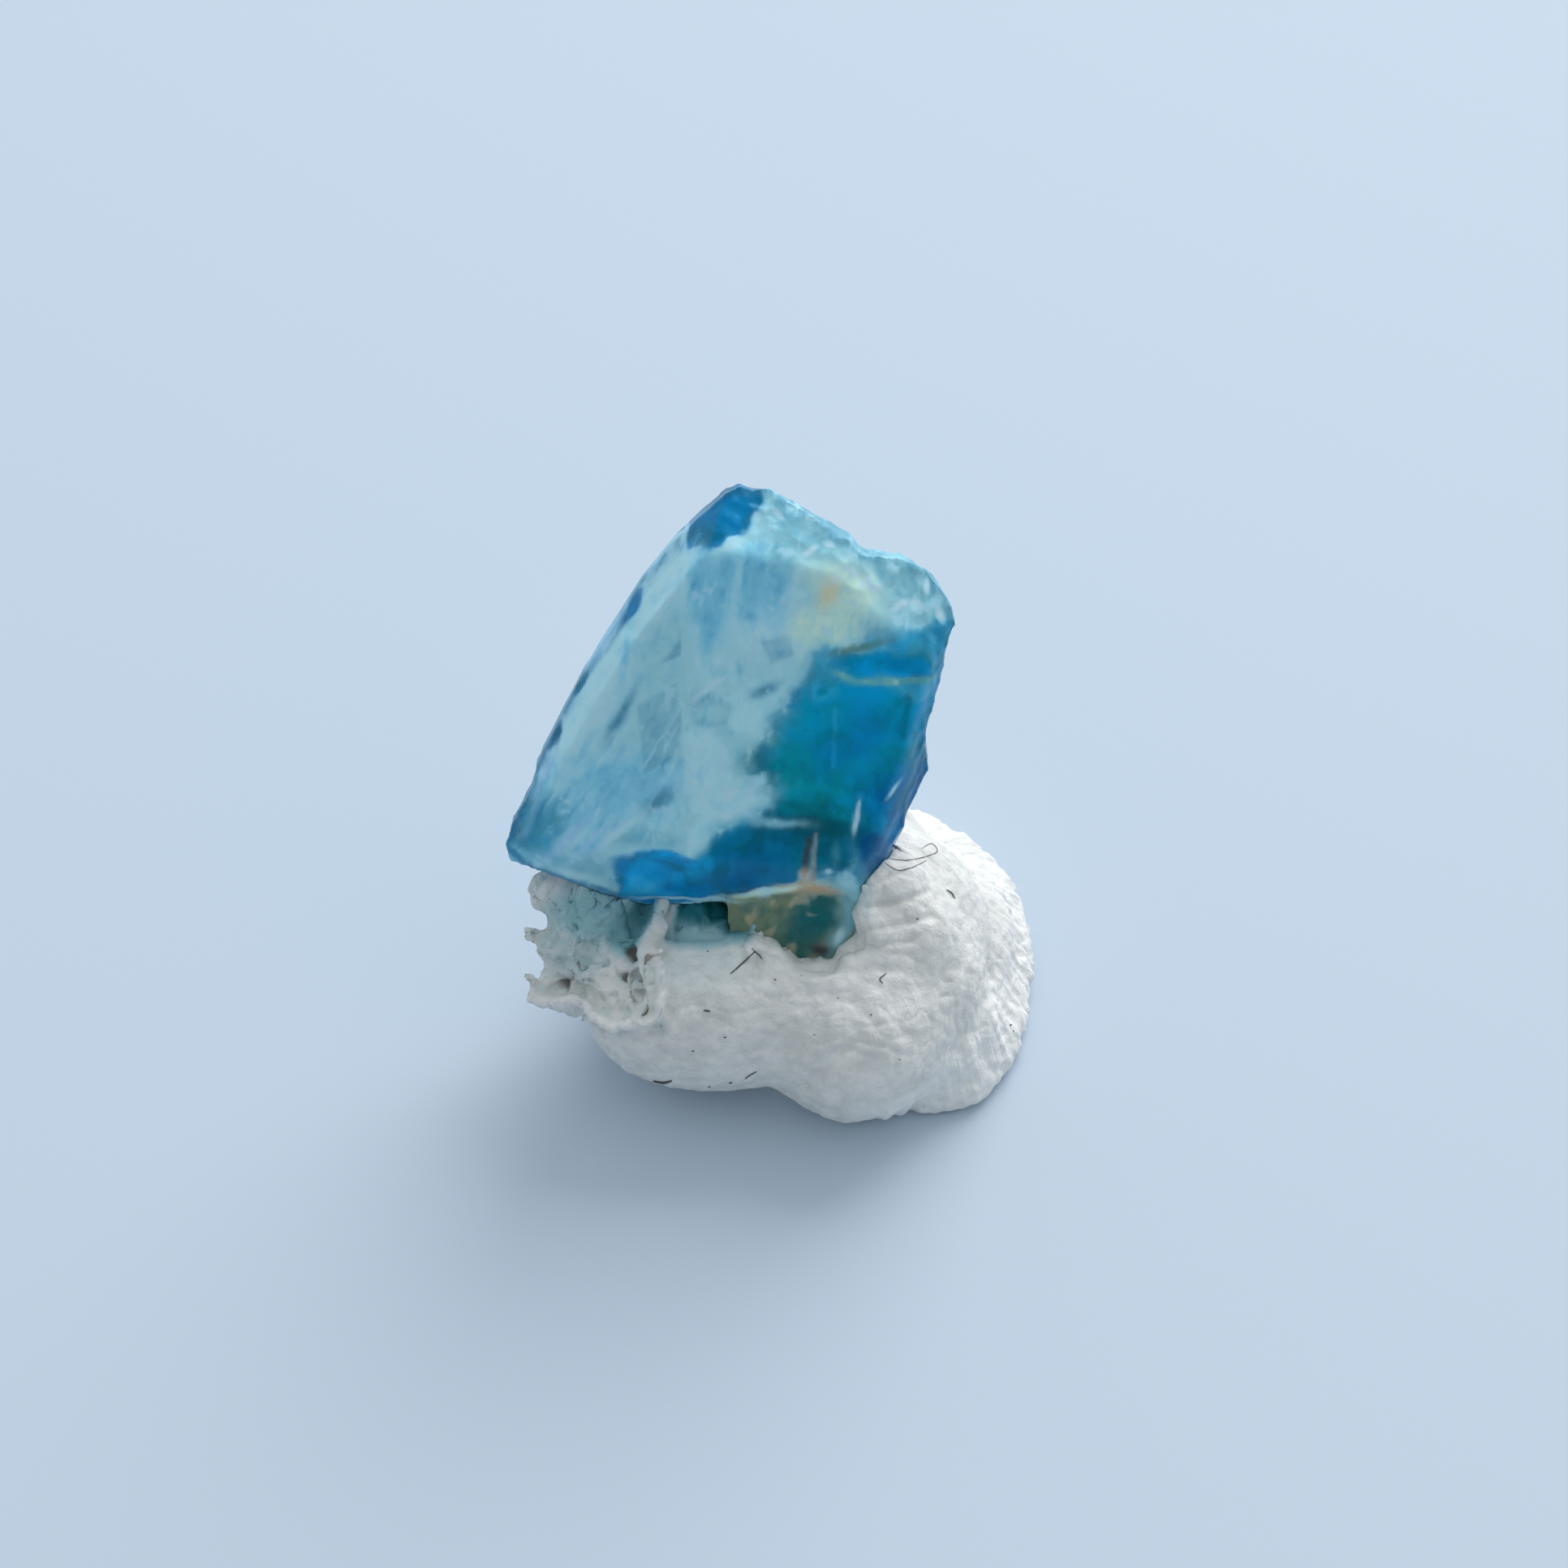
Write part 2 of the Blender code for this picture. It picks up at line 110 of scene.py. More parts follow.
# Rolled edges of the putty: each a list of places with the thickness there
ROLLS = [
    [((-0.40, 1.42, 3.80), 0.20), ((0.21, 1.45, 3.58), 0.22), ((0.95, 1.50, 3.28), 0.26),
     ((1.50, 1.70, 3.49), 0.24), ((1.86, 2.05, 4.10), 0.24), ((2.05, 2.56, 4.50), 0.24),
     ((2.36, 2.95, 4.60), 0.22)],
    [((-2.28, 2.52, 4.00), 0.20), ((-2.36, 2.14, 3.98), 0.18), ((-2.52, 1.72, 3.82), 0.17),
     ((-2.66, 1.35, 3.70), 0.17), ((-2.62, 0.95, 3.54), 0.16), ((-2.50, 0.60, 3.28), 0.18),
     ((-2.60, 0.40, 3.04), 0.19)],
    [((-2.62, 1.72, 3.80), 0.14), ((-2.95, 1.75, 3.70), 0.12), ((-3.30, 1.85, 3.62), 0.10)],
    [((-2.60, 0.40, 3.04), 0.18), ((-3.00, 0.34, 2.78), 0.20), ((-3.42, 0.46, 2.72), 0.20),
     ((-3.80, 0.72, 2.66), 0.18)],
]
# Pits of the torn putty: place in the picture, radius, depth
PITS = [
    ((-3.12, -3.45), 0.13, 0.26),
    ((-2.76, -3.56), 0.10, 0.22),
    ((-3.27, -3.88), 0.14, 0.24),
    ((-3.63, -3.63), 0.10, 0.12),
    ((-3.02, -4.34), 0.09, 0.18),
    ((-2.87, -4.64), 0.11, 0.30),
    ((-4.29, -2.90), 0.09, 0.14),
    ((-4.48, -4.00), 0.23, 0.42),
    ((-4.02, -3.30), 0.12, 0.07),
    ((-3.90, -4.05), 0.10, 0.07),
    ((-4.70, -3.10), 0.12, 0.08),
    ((-4.60, -3.62), 0.13, 0.10),
    ((-3.50, -4.30), 0.10, 0.08),
    ((-3.40, -3.20), 0.08, 0.06),
    ((-3.80, -2.60), 0.14, 0.06),
    ((-3.00, -2.75), 0.32, 0.22),
]
# Creases (negative) and ridges of the kneaded surface: line in the picture, width, height
WRINKLES = [
    ([(-0.68, -3.22), (-0.52, -3.52), (-0.58, -3.90)], 0.09, -0.12),
    ([(0.20, -6.29), (0.73, -5.84), (1.55, -5.18)], 0.16, -0.10),
    ([(2.40, -1.80), (1.95, -2.00), (1.63, -2.13)], 0.07, -0.06),
    ([(2.90, -2.20), (2.30, -2.40), (1.68, -2.51)], 0.08, -0.07),
    ([(3.00, -2.70), (2.30, -2.87), (1.55, -3.00)], 0.08, -0.07),
    ([(2.60, -3.20), (2.05, -3.28), (1.35, -3.40)], 0.08, -0.06),
    ([(2.30, -3.75), (1.60, -3.80), (0.90, -3.75)], 0.09, -0.05),
    ([(-1.09, -5.51), (0.56, -5.35), (1.39, -5.02)], 0.07, -0.03),
    ([(-1.25, -5.81), (0.56, -5.71), (1.39, -5.35)], 0.07, -0.03),
    ([(-0.60, -6.10), (0.73, -5.92)], 0.07, -0.03),
    ([(0.30, -4.20), (1.30, -4.40), (1.90, -4.90)], 0.10, -0.04),
    ([(-1.30, -4.00), (-0.30, -4.35), (0.50, -4.30)], 0.10, -0.03),
    ([(-2.16, -2.79), (-1.58, -2.67), (-1.01, -2.54)], 0.06, -0.06),
    ([(-2.21, -3.04), (-1.58, -2.95), (-1.01, -2.84)], 0.06, -0.06),
]
# Lines of the torn patch in the picture: the strand, the raised rim below it, and the patch's border
STRAND_LINE = [(-2.33, -2.40), (-2.55, -2.90), (-2.80, -3.35)]
TORN_RIM = [
    (-2.62, -3.45), (-2.53, -3.80), (-2.48, -4.20), (-2.54, -4.72), (-2.82, -4.86),
    (-3.55, -4.93), (-3.90, -4.68), (-4.12, -4.42), (-4.60, -4.45), (-5.20, -4.40),
]
# Shade on the putty under the crystal: middle in the picture, half width, half height, share
SHADES = [
    ((-1.62, -2.50), 0.90, 0.50, 0.97),
    ((-1.00, -2.72), 0.50, 0.50, 0.85),
    ((-1.75, -2.98), 1.05, 0.42, 0.52),
    ((-2.85, -2.62), 0.40, 0.45, 0.85),
    ((-3.15, -2.95), 0.60, 0.55, 0.72),
    ((-3.75, -2.60), 1.10, 0.70, 0.55),
    ((-4.20, -3.20), 0.80, 0.80, 0.30),
    ((-1.90, -3.55), 1.30, 0.80, 0.18),
    ((1.68, -2.30), 0.12, 0.50, 0.25),
]
DOME_MIDDLE = np.array((2.10, 3.50, 1.55))
DOME_RADII = np.array((2.50, 2.40, 2.65))
SKIRT_MIDDLE = np.array((1.50, 4.20))
FLOW_AXIS = np.array((-0.35, -0.60, 0.72))  # the arcs on the dome run round this way
PULLED_MIDDLE = np.array((2.95, 2.30, 3.60))  # the putty drawn up beside the wedge

# Fibres on the putty: line in the picture, half thickness
FIBRES = [
    ([(2.13, -1.52), (2.54, -1.55), (3.09, -1.40), (3.00, -1.22), (2.79, -1.32)], 0.009),
    ([(2.05, -1.60), (2.30, -1.75), (2.60, -1.70), (2.90, -1.55)], 0.008),
    ([(3.30, -2.16), (3.40, -2.22), (3.47, -2.34)], 0.015),
    ([(2.08, -3.86), (1.95, -3.96), (2.01, -4.06)], 0.013),
    ([(-1.09, -3.86), (-0.85, -3.65), (-0.59, -3.40)], 0.017),
    ([(-0.66, -3.34), (-0.52, -3.46), (-0.44, -3.56)], 0.012),
    ([(-2.66, -6.02), (-2.45, -6.06), (-2.28, -6.02)], 0.026),
    ([(-0.79, -5.99), (-0.67, -5.90), (-0.56, -5.84)], 0.014),
    ([(-1.63, -4.60), (-1.50, -4.62)], 0.020),
]
# Specks on the putty: right of and above the middle of the picture, size
SPECKS = [
    (2.71, -2.74, 0.030), (-1.85, -5.43, 0.028), (-1.52, -6.15, 0.035), (-1.09, -6.07, 0.040),
    (-1.20, -5.15, 0.030), (-0.18, -3.98, 0.028), (1.77, -4.69, 0.026), (4.60, -4.90, 0.035),
    (4.66, -5.02, 0.025), (0.35, -3.90, 0.020), (1.10, -4.35, 0.022), (2.35, -5.60, 0.022),
    (-1.55, -3.40, 0.024), (0.62, -5.10, 0.020),
]

# The blunt edge where the front face turns into the right side, in x and z
SIDE_EDGE = [(3.20, 6.50), (2.58, 5.27), (2.20, 2.20)]

# The crystal's outline in x and z, along which painted shade stands for the darkening that refraction
# gives its edges
RIM_LINE = [
    (-2.70, 1.15), (-4.97, 1.90), (-5.46, 2.38), (-4.83, 4.05), (-3.98, 5.75), (-2.60, 7.90),
    (-0.97, 9.82), (-0.07, 9.87), (0.97, 9.23), (1.83, 8.58), (3.13, 8.16), (3.75, 7.03),
    (3.51, 6.16), (3.13, 4.74), (3.23, 3.90), (2.61, 2.45),
]

# Colours of the crystal, as red, green and blue from 0 to 255
COLOURS = {
    "slate": (88, 142, 162),
    "stroke": (112, 176, 198),
    "drab": (120, 124, 116),
    "milk": (144, 185, 192),
    "grey": (128, 171, 179),
    "mist": (158, 196, 204),
    "brush": (120, 180, 200),
    "azure": (0, 134, 188),
    "sky": (56, 158, 190),
    "deep": (0, 130, 158),
    "ink": (0, 106, 150),
    "navy": (0, 84, 140),
    "teal": (0, 120, 132),
    "pine": (0, 94, 104),
    "aqua": (112, 160, 172),
    "cream": (166, 194, 182),
    "tan": (172, 170, 142),
    "olive": (98, 150, 144),
    "lavender": (136, 178, 202),
    "tip": (70, 148, 172),
    "glint": (190, 222, 232),
    "brown": (108, 118, 92),
    "moss": (92, 118, 100),
    "rust": (160, 138, 112),
    "umber": (74, 66, 60),
    "sea": (36, 116, 112),
    "frost": (142, 178, 190),
}

# Zones of colour: name, middle in x and z, half width, half height, turn in degrees, softness
ZONES = [
    ("grey", (-2.4, 5.4), 0.9, 1.9, -25, 0.6),
    ("mist", (-3.6, 5.2), 0.55, 1.3, -30, 0.7),
    ("mist", (-2.2, 8.0), 0.40, 0.9, -20, 0.7),
    ("brush", (-0.7, 7.9), 1.1, 0.9, 15, 0.45),
    ("grey", (-0.2, 6.5), 1.0, 0.35, -10, 0.8),
    ("aqua", (0.9, 9.0), 1.6, 0.85, -33, 0.35),
    ("aqua", (2.6, 7.6), 1.4, 0.95, -20, 0.35),
    ("mist", (-0.2, 7.1), 0.8, 0.5, -20, 0.8),
    ("cream", (1.6, 8.1), 0.75, 0.32, -25, 0.8),
    ("cream", (1.15, 7.2), 0.50, 0.85, -32, 0.7),
    ("brush", (-3.4, 3.75), 1.5, 0.65, 18, 0.6),
    ("tip", (-4.95, 2.75), 0.7, 0.9, -10, 0.5),
    ("deep", (1.9, 4.5), 1.80, 2.05, 8, 0.20),
    ("deep", (0.9, 2.9), 1.9, 1.1, 0, 0.3),
    ("sky", (3.0, 6.85), 0.75, 0.25, -8, 0.8),
    ("ink", (0.85, 4.45), 0.50, 0.42, 0, 0.7),
    ("ink", (1.75, 4.85), 0.60, 0.45, 0, 0.8),
    ("ink", (2.1, 3.85), 0.55, 0.40, 0, 0.7),
    ("teal", (0.25, 4.3), 0.55, 0.60, 0, 0.7),
    ("teal", (2.7, 4.25), 0.75, 0.22, 0, 0.7),
    ("teal", (0.9, 3.0), 0.8, 0.75, 0, 0.6),
    ("pine", (1.0, 3.15), 0.55, 0.50, 0, 0.8),
    ("navy", (2.6, 3.0), 0.75, 1.20, -20, 0.35),
    ("deep", (2.2, 6.35), 1.2, 0.42, 0, 0.3),
    ("tip", (2.9, 5.95), 0.80, 0.22, 0, 0.5),
    ("tip", (1.15, 6.30), 0.40, 0.40, 0, 0.6),
    ("azure", (2.15, 6.38), 0.86, 0.25, 0, 0.3),
    ("mist", (-1.46, 4.4), 0.26, 0.80, 0, 0.5),
    ("mist", (-0.55, 3.55), 0.62, 0.42, 15, 0.7),
    ("aqua", (-2.7, 2.75), 0.65, 0.30, 8, 0.8),
    ("deep", (-0.5, 2.15), 1.45, 0.72, 8, 0.3),
    ("aqua", (-3.8, 1.95), 0.85, 0.50, -10, 0.6),
    ("azure", (-2.05, 1.84), 1.12, 0.70, 0, 0.15),
    ("navy", (-0.7, 1.80), 0.30, 0.30, 0, 0.7),
    ("teal", (-0.05, 2.5), 0.35, 0.25, 0, 0.8),
    ("azure", (-1.05, 9.38), 1.0, 0.42, 33, 0.25),
    ("brown", (0.1, 0.75), 1.3, 1.0, 0, 0.15),
    ("brown", (0.9, 0.4), 1.25, 1.25, 0, 0.15),
    ("moss", (0.35, 0.45), 0.8, 0.45, -15, 0.7),
    ("sea", (0.75, 0.95), 0.42, 0.50, 10, 0.6),
    ("aqua", (1.46, 1.00), 0.24, 0.60, -8, 1.0),
]
# The same for small and thin marks, which follow the crystal more closely
MARKS = [
    ("azure", (-2.84, 7.43), 0.09, 0.34, -32, 0.5),
    ("brush", (-3.00, 6.50), 0.08, 0.45, -8, 0.7),
    ("deep", (-3.89, 5.81), 0.07, 0.26, -32, 0.5),
    ("ink", (-4.43, 4.66), 0.09, 0.26, -22, 0.5),
    ("lavender", (-3.40, 6.75), 0.09, 0.75, -30, 0.8),
    ("lavender", (-4.60, 4.10), 0.08, 0.50, -24, 0.8),
    ("grey", (-2.20, 6.85), 0.18, 0.62, -38, 0.5),
    ("grey", (-1.25, 5.45), 0.42, 0.24, 15, 0.6),
    ("mist", (-1.28, 5.92), 0.06, 0.30, -52, 0.9),
    ("mist", (-0.85, 6.3), 0.10, 0.30, 10, 0.9),
    ("lavender", (-4.15, 2.70), 0.10, 0.70, -40, 0.8),
    ("brush", (-3.92, 2.60), 0.06, 0.60, -41, 0.8),
    ("lavender", (-3.75, 2.60), 0.08, 0.66, -42, 0.8),
    ("brush", (-3.55, 2.70), 0.06, 0.55, -42, 0.8),
    ("lavender", (-3.35, 2.75), 0.07, 0.60, -44, 0.8),
    ("mist", (-3.05, 2.95), 0.07, 0.55, -46, 0.9),
    ("stroke", (-1.45, 8.10), 0.20, 0.75, -4, 1.0),
    ("stroke", (-0.98, 8.05), 0.15, 0.65, -8, 0.9),
    ("stroke", (-0.42, 8.05), 0.18, 0.70, -10, 0.9),
    ("stroke", (0.10, 7.90), 0.16, 0.55, -12, 1.0),
    ("stroke", (-1.30, 7.10), 0.15, 0.40, -8, 1.0),
    ("tan", (1.12, 7.88), 0.20, 0.30, -20, 1.0),
    ("cream", (0.55, 7.30), 0.18, 0.30, -30, 1.0),
    ("moss", (1.75, 6.76), 0.55, 0.09, 12, 0.8),
    ("olive", (2.45, 6.02), 0.90, 0.10, -2, 0.5),
    ("olive", (1.45, 6.15), 0.28, 0.08, -25, 0.8),
    ("sky", (0.99, 5.85), 0.24, 0.17, 0, 0.9),
    ("deep", (0.99, 5.83), 0.12, 0.08, 0, 0.8),
    ("aqua", (0.15, 3.10), 0.55, 0.10, -4, 1.0),
    ("glint", (-0.92, 3.32), 0.12, 0.08, 30, 0.8),
    ("glint", (-0.45, 3.75), 0.16, 0.07, 60, 0.9),
    ("glint", (-0.88, 3.72), 0.13, 0.08, 30, 0.6),
    ("mist", (-1.00, 3.40), 0.20, 0.10, 20, 0.8),
    ("mist", (-0.26, 4.02), 0.16, 0.10, 60, 0.8),
    ("mist", (-4.00, 1.78), 0.35, 0.12, -15, 0.9),
    ("milk", (-1.60, 5.00), 0.20, 0.12, 40, 0.9),
    ("slate", (-2.30, 3.60), 0.35, 0.14, 40, 1.0),
    ("slate", (-3.10, 5.30), 0.10, 0.60, -28, 1.0),
    ("slate", (-0.20, 5.90), 0.30, 0.12, 20, 1.0),
    ("glint", (1.69, 3.15), 0.05, 0.32, -8, 0.8),
    ("frost", (2.45, 3.72), 0.05, 0.20, -38, 0.9),
    ("glint", (1.15, 2.02), 0.08, 0.06, 0, 0.8),
    ("glint", (1.88, 8.05), 0.13, 0.08, 40, 0.5),
    ("glint", (2.05, 7.92), 0.12, 0.09, 10, 0.5),
    ("glint", (1.62, 8.29), 0.16, 0.05, -30, 0.6),
    ("glint", (3.13, 7.81), 0.06, 0.14, 10, 0.5),
    ("glint", (2.57, 7.54), 0.17, 0.09, 20, 0.6),
    ("glint", (2.92, 7.54), 0.12, 0.07, -20, 0.6),
    ("glint", (3.43, 7.27), 0.07, 0.16, 20, 0.7),
    ("glint", (0.13, 9.39), 0.14, 0.06, -50, 0.6),
    ("glint", (1.12, 8.81), 0.12, 0.06, -20, 0.6),
    ("glint", (0.76, 8.70), 0.14, 0.06, 30, 0.7),
    ("mist", (-0.79, 8.91), 0.20, 0.10, 30, 0.7),
    ("glint", (-1.12, 6.07), 0.20, 0.05, 38, 0.6),
    ("mist", (-1.09, 6.52), 0.16, 0.08, 50, 0.7),
    ("sky", (-2.60, 1.60), 0.28, 0.18, 30, 0.8),
    ("ink", (-2.05, 2.18), 0.28, 0.10, -10, 0.8),
    ("frost", (-1.85, 1.30), 1.00, 0.045, 3, 0.7),
    ("rust", (0.70, 1.62), 0.60, 0.12, -6, 0.7),
    ("cream", (0.00, 1.60), 0.70, 0.07, 8, 0.8),
    ("rust", (0.66, 1.86), 0.14, 0.22, 0, 0.8),
    ("tip", (1.70, 2.15), 0.10, 0.45, 14, 1.0),
    ("tip", (1.25, 2.25), 0.08, 0.35, -8, 1.0),
    ("umber", (0.95, 0.25), 0.18, 0.14, 0, 0.8),
    ("glint", (1.36, 0.52), 0.07, 0.16, -20, 0.8),
]

# Crisp-edged patches inside the crystal: colour, share, corners in x and z
PATCHES = [
    ("slate", 0.7, [(-1.83, 7.25), (-2.62, 6.35), (-1.85, 6.62)]),
    ("slate", 0.6, [(-1.72, 5.72), (-1.30, 6.02), (-0.82, 5.62), (-0.92, 5.22), (-1.45, 5.12),
                    (-1.70, 5.35)]),
    ("glint", 0.5, [(-1.70, 5.70), (-1.28, 6.08), (-1.12, 6.02), (-1.60, 5.60)]),
    ("mist", 0.7, [(-1.80, 9.20), (-1.68, 9.15), (-1.76, 7.30), (-1.88, 7.30)]),
    ("mist", 0.8, [(-1.82, 5.10), (-1.20, 4.95), (-1.15, 4.00), (-1.42, 3.60), (-1.75, 3.80)]),
    ("slate", 0.4, [(-2.75, 5.60), (-1.90, 6.10), (-1.85, 4.60), (-2.60, 4.10)]),
    ("mist", 0.5, [(-3.30, 6.60), (-2.90, 6.90), (-2.75, 5.60), (-3.40, 4.90)]),
    ("slate", 0.5, [(-0.25, 7.00), (0.35, 7.15), (0.45, 6.60), (-0.05, 6.45)]),
    ("mist", 0.7, [(-0.30, 7.05), (0.40, 7.25), (0.38, 7.12), (-0.20, 6.92)]),
    ("mist", 0.5, [(-0.70, 8.60), (-0.55, 8.60), (-0.70, 7.40), (-0.84, 7.50)]),
    ("mist", 0.5, [(0.45, 8.50), (0.60, 8.40), (0.40, 7.30), (0.25, 7.40)]),
    ("ink", 0.7, [(1.55, 3.35), (2.20, 3.55), (2.42, 2.95), (1.75, 2.70)]),
    ("pine", 0.6, [(0.45, 3.45), (1.15, 3.62), (1.42, 3.05), (0.80, 2.62), (0.38, 2.85)]),
    ("teal", 0.6, [(1.00, 5.60), (1.80, 5.75), (1.55, 5.00), (1.10, 4.92)]),
    ("sky", 0.5, [(1.18, 5.50), (1.28, 5.52), (1.26, 4.20), (1.19, 4.20)]),
    ("azure", 0.85, [(-3.20, 1.28), (-2.95, 1.95), (-2.45, 2.56), (-1.95, 2.55), (-1.45, 2.30),
                     (-1.30, 1.35), (-2.20, 1.02)]),
    ("azure", 0.55, [(-1.45, 2.30), (-0.60, 2.62), (0.35, 2.95), (0.40, 1.75), (-0.90, 1.60),
                     (-1.30, 1.35)]),
    ("ink", 0.6, [(-2.40, 2.35), (-1.95, 2.30), (-2.10, 1.55), (-2.50, 1.60)]),
    ("sky", 0.5, [(-3.00, 1.85), (-2.62, 1.95), (-2.50, 1.55), (-2.85, 1.42)]),
    ("ink", 0.5, [(-0.80, 2.40), (-0.20, 2.60), (0.00, 2.00), (-0.60, 1.80)]),
    ("umber", 0.95, [(0.58, 1.95), (0.74, 1.95), (0.82, 2.88), (0.66, 2.78)]),
    ("drab", 0.85, [(0.74, 1.75), (0.88, 1.75), (0.94, 2.90), (0.82, 2.90)]),
]


def vertex_rows(mesh, kind):
    """The place or the normal of every vertex, one row each."""
    flat = np.empty(len(mesh.vertices) * 3, np.float32)
    mesh.vertices.foreach_get(kind, flat)
    return flat.reshape(-1, 3).astype(float)


def mesh_points(mesh):
    """Where every vertex is."""
    return vertex_rows(mesh, "co")


def mesh_normals(mesh):
    """Which way every vertex faces."""
    return vertex_rows(mesh, "normal")


def set_points(mesh, points):
    """Moves every vertex to its row."""
    mesh.vertices.foreach_set("co", points.astype(np.float32).ravel())
    mesh.update()


def raise_points(mesh, height):
    """Moves every vertex out along its normal by its height."""
    set_points(mesh, mesh_points(mesh) + mesh_normals(mesh) * height[:, None])


def store(mesh, name, values):
    """Keeps a number or a colour for each vertex, for the material to read."""
    if values.ndim == 1:
        kept = mesh.attributes.new(name, "FLOAT", "POINT")
        kept.data.foreach_set("value", values.astype(np.float32))
        return
    kept = mesh.attributes.new(name, "FLOAT_COLOR", "POINT")
    colours = np.c_[values, np.ones(len(values))].astype(np.float32)
    kept.data.foreach_set("color", colours.ravel())


def ease(value, low, high):
    """0 at low and 1 at high, smooth between them. high may be the smaller one."""
    t = np.clip((value - low) / (high - low), 0.0, 1.0)
    return t * t * (3.0 - 2.0 * t)


def noise_at(points, scale, seed=0.0):
    """Smooth noise from -1 to 1 at each point, with features about 1 / scale wide."""
    return np.array([noise.noise(row) for row in (points * scale + seed).tolist()])


def warp(points, scale, amount, seed):
    """Points moved about by smooth noise, by up to the amount each way."""
    moves = [noise_at(points, scale, seed + 20.0 * axis) for axis in range(3)]
    return points + amount * np.stack(moves, 1)


def distance_to(flat, line):
    """How far each point of a plane lies from a line through places in it."""
    best = np.full(len(flat), np.inf)
    for start, end in zip(np.array(line[:-1]), np.array(line[1:])):
        along = end - start
        share = np.clip((flat - start) @ along / (along @ along), 0.0, 1.0)
        best = np.minimum(best, np.linalg.norm(flat - start - share[:, None] * along, axis=1))
    return best


def scallops(points, chosen, pitch, rng):
    """Shell-like hollows side by side over the chosen points: 1 in the middle of each, 0 on its rim."""
    order = rng.permutation(np.flatnonzero(chosen))
    seeds = points[order[:1]]
    for index in order[1:SCALLOP_TRIES]:
        if np.min(np.linalg.norm(seeds - points[index], axis=1)) > pitch * 0.7:
            seeds = np.vstack((seeds, points[index]))
    tree = KDTree(len(seeds))
    for i, seed in enumerate(seeds):
        tree.insert(seed, i)
    tree.balance()
    away = np.array([tree.find(row)[2] for row in points.tolist()])
    return 1.0 - np.clip(away / pitch, 0.0, 1.0) ** 2


def seen(points):
    """Where points of the drawing frame show in the picture."""
    offset = points - CAMERA_PLACE
    scale = CAMERA_DISTANCE / (offset @ VIEW)
    return np.c_[offset @ RIGHT, offset @ UP] * scale[:, None]


def copied(node, matrix):
    """A copy of a CAD node's mesh, moved, with its loose faces joined up."""
    bm = bmesh.new()
    bm.from_mesh(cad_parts[node].data)
    bmesh.ops.transform(bm, matrix=matrix, verts=bm.verts)
    bmesh.ops.remove_doubles(bm, verts=bm.verts[:], dist=TOUCHING)
    mesh = bpy.data.meshes.new(node)
    bm.to_mesh(mesh)
    bm.free()
    return mesh


def blob(bm, centre, radii, subdivisions=3):
    """A rounded mass."""
    place = Matrix.Translation(centre) @ Matrix.Diagonal((*radii, 1.0))
    bmesh.ops.create_icosphere(bm, subdivisions=subdivisions, radius=1.0, matrix=place)


def roll(bm, stations, steps=8):
    """A rounded cord of changing thickness through places."""
    for (start, thick), (end, thin) in zip(stations[:-1], stations[1:]):
        for k in range(steps + 1):
            share = k / steps
            place = Matrix.Translation(Vector(start).lerp(Vector(end), share))
            radius = thick + (thin - thick) * share
            bmesh.ops.create_icosphere(bm, subdivisions=2, radius=radius, matrix=place)


def relax(mesh, weight, rounds):
    """Eases each vertex towards the mean of its neighbours, as far as its weight says."""
    ends = np.empty(len(mesh.edges) * 2, np.int32)
    mesh.edges.foreach_get("vertices", ends)
    a, b = ends.reshape(-1, 2).T
    owner = np.concatenate((a, b))
    other = np.concatenate((b, a))
    points = mesh_points(mesh)
    count = np.bincount(owner, minlength=len(points))
    for _ in range(rounds):
        sums = [np.bincount(owner, points[other, axis], len(points)) for axis in range(3)]
        points += 0.5 * weight[:, None] * (np.stack(sums, 1) / count[:, None] - points)
    set_points(mesh, points)


def remeshed(mesh, voxel, smoothing):
    """The same closed form as one even mesh."""
    obj = bpy.data.objects.new("form", mesh)
    bpy.context.scene.collection.objects.link(obj)
    even = obj.modifiers.new("Even", "REMESH")
    even.mode = "VOXEL"
    even.voxel_size = voxel
    eased = obj.modifiers.new("Ease", "SMOOTH")
    eased.factor = 0.5
    eased.iterations = smoothing
    ready = obj.evaluated_get(bpy.context.evaluated_depsgraph_get())
    made = bpy.data.meshes.new_from_object(ready)
    bpy.data.objects.remove(obj)
    return made


def surface_tree(mesh, place):
    """The mesh's surface, moved by a matrix, for finding what is nearest or in the way."""
    corners = [place @ vert.co for vert in mesh.vertices]
    return BVHTree.FromPolygons(corners, [face.vertices for face in mesh.polygons])


def settle(mesh, solid):
    """Brings every vertex of an even mesh back onto the solid that it was made from."""
    tree = surface_tree(solid, Matrix())
    nearest = [tree.find_nearest(row)[0] for row in mesh_points(mesh).tolist()]
    set_points(mesh, np.array(nearest))


def piece(name, mesh, place, material, node=None):
    """Puts a finished mesh, in millimetres, on the part."""
    mesh.transform(TO_METRES)
    mesh.materials.clear()
    mesh.materials.append(material)
    mesh.shade_smooth()
    mesh.name = name
    obj = bpy.data.objects.new(name, mesh)
    bpy.context.scene.collection.objects.link(obj)
    obj.matrix_world = place
    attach(obj, "root")
    if node:
        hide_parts(node)
    return obj


def tint(name):
    """A crystal colour as the shader takes it, lighter than it looks on the shaded face."""
    shares = [value / 255.0 for value in COLOURS[name]]
    values = [s / 12.92 if s <= 0.04045 else ((s + 0.055) / 1.055) ** 2.4 for s in shares]
    gain = min(COLOUR_GAIN, LIGHTEST / max(values))
    return [value * gain for value in values]


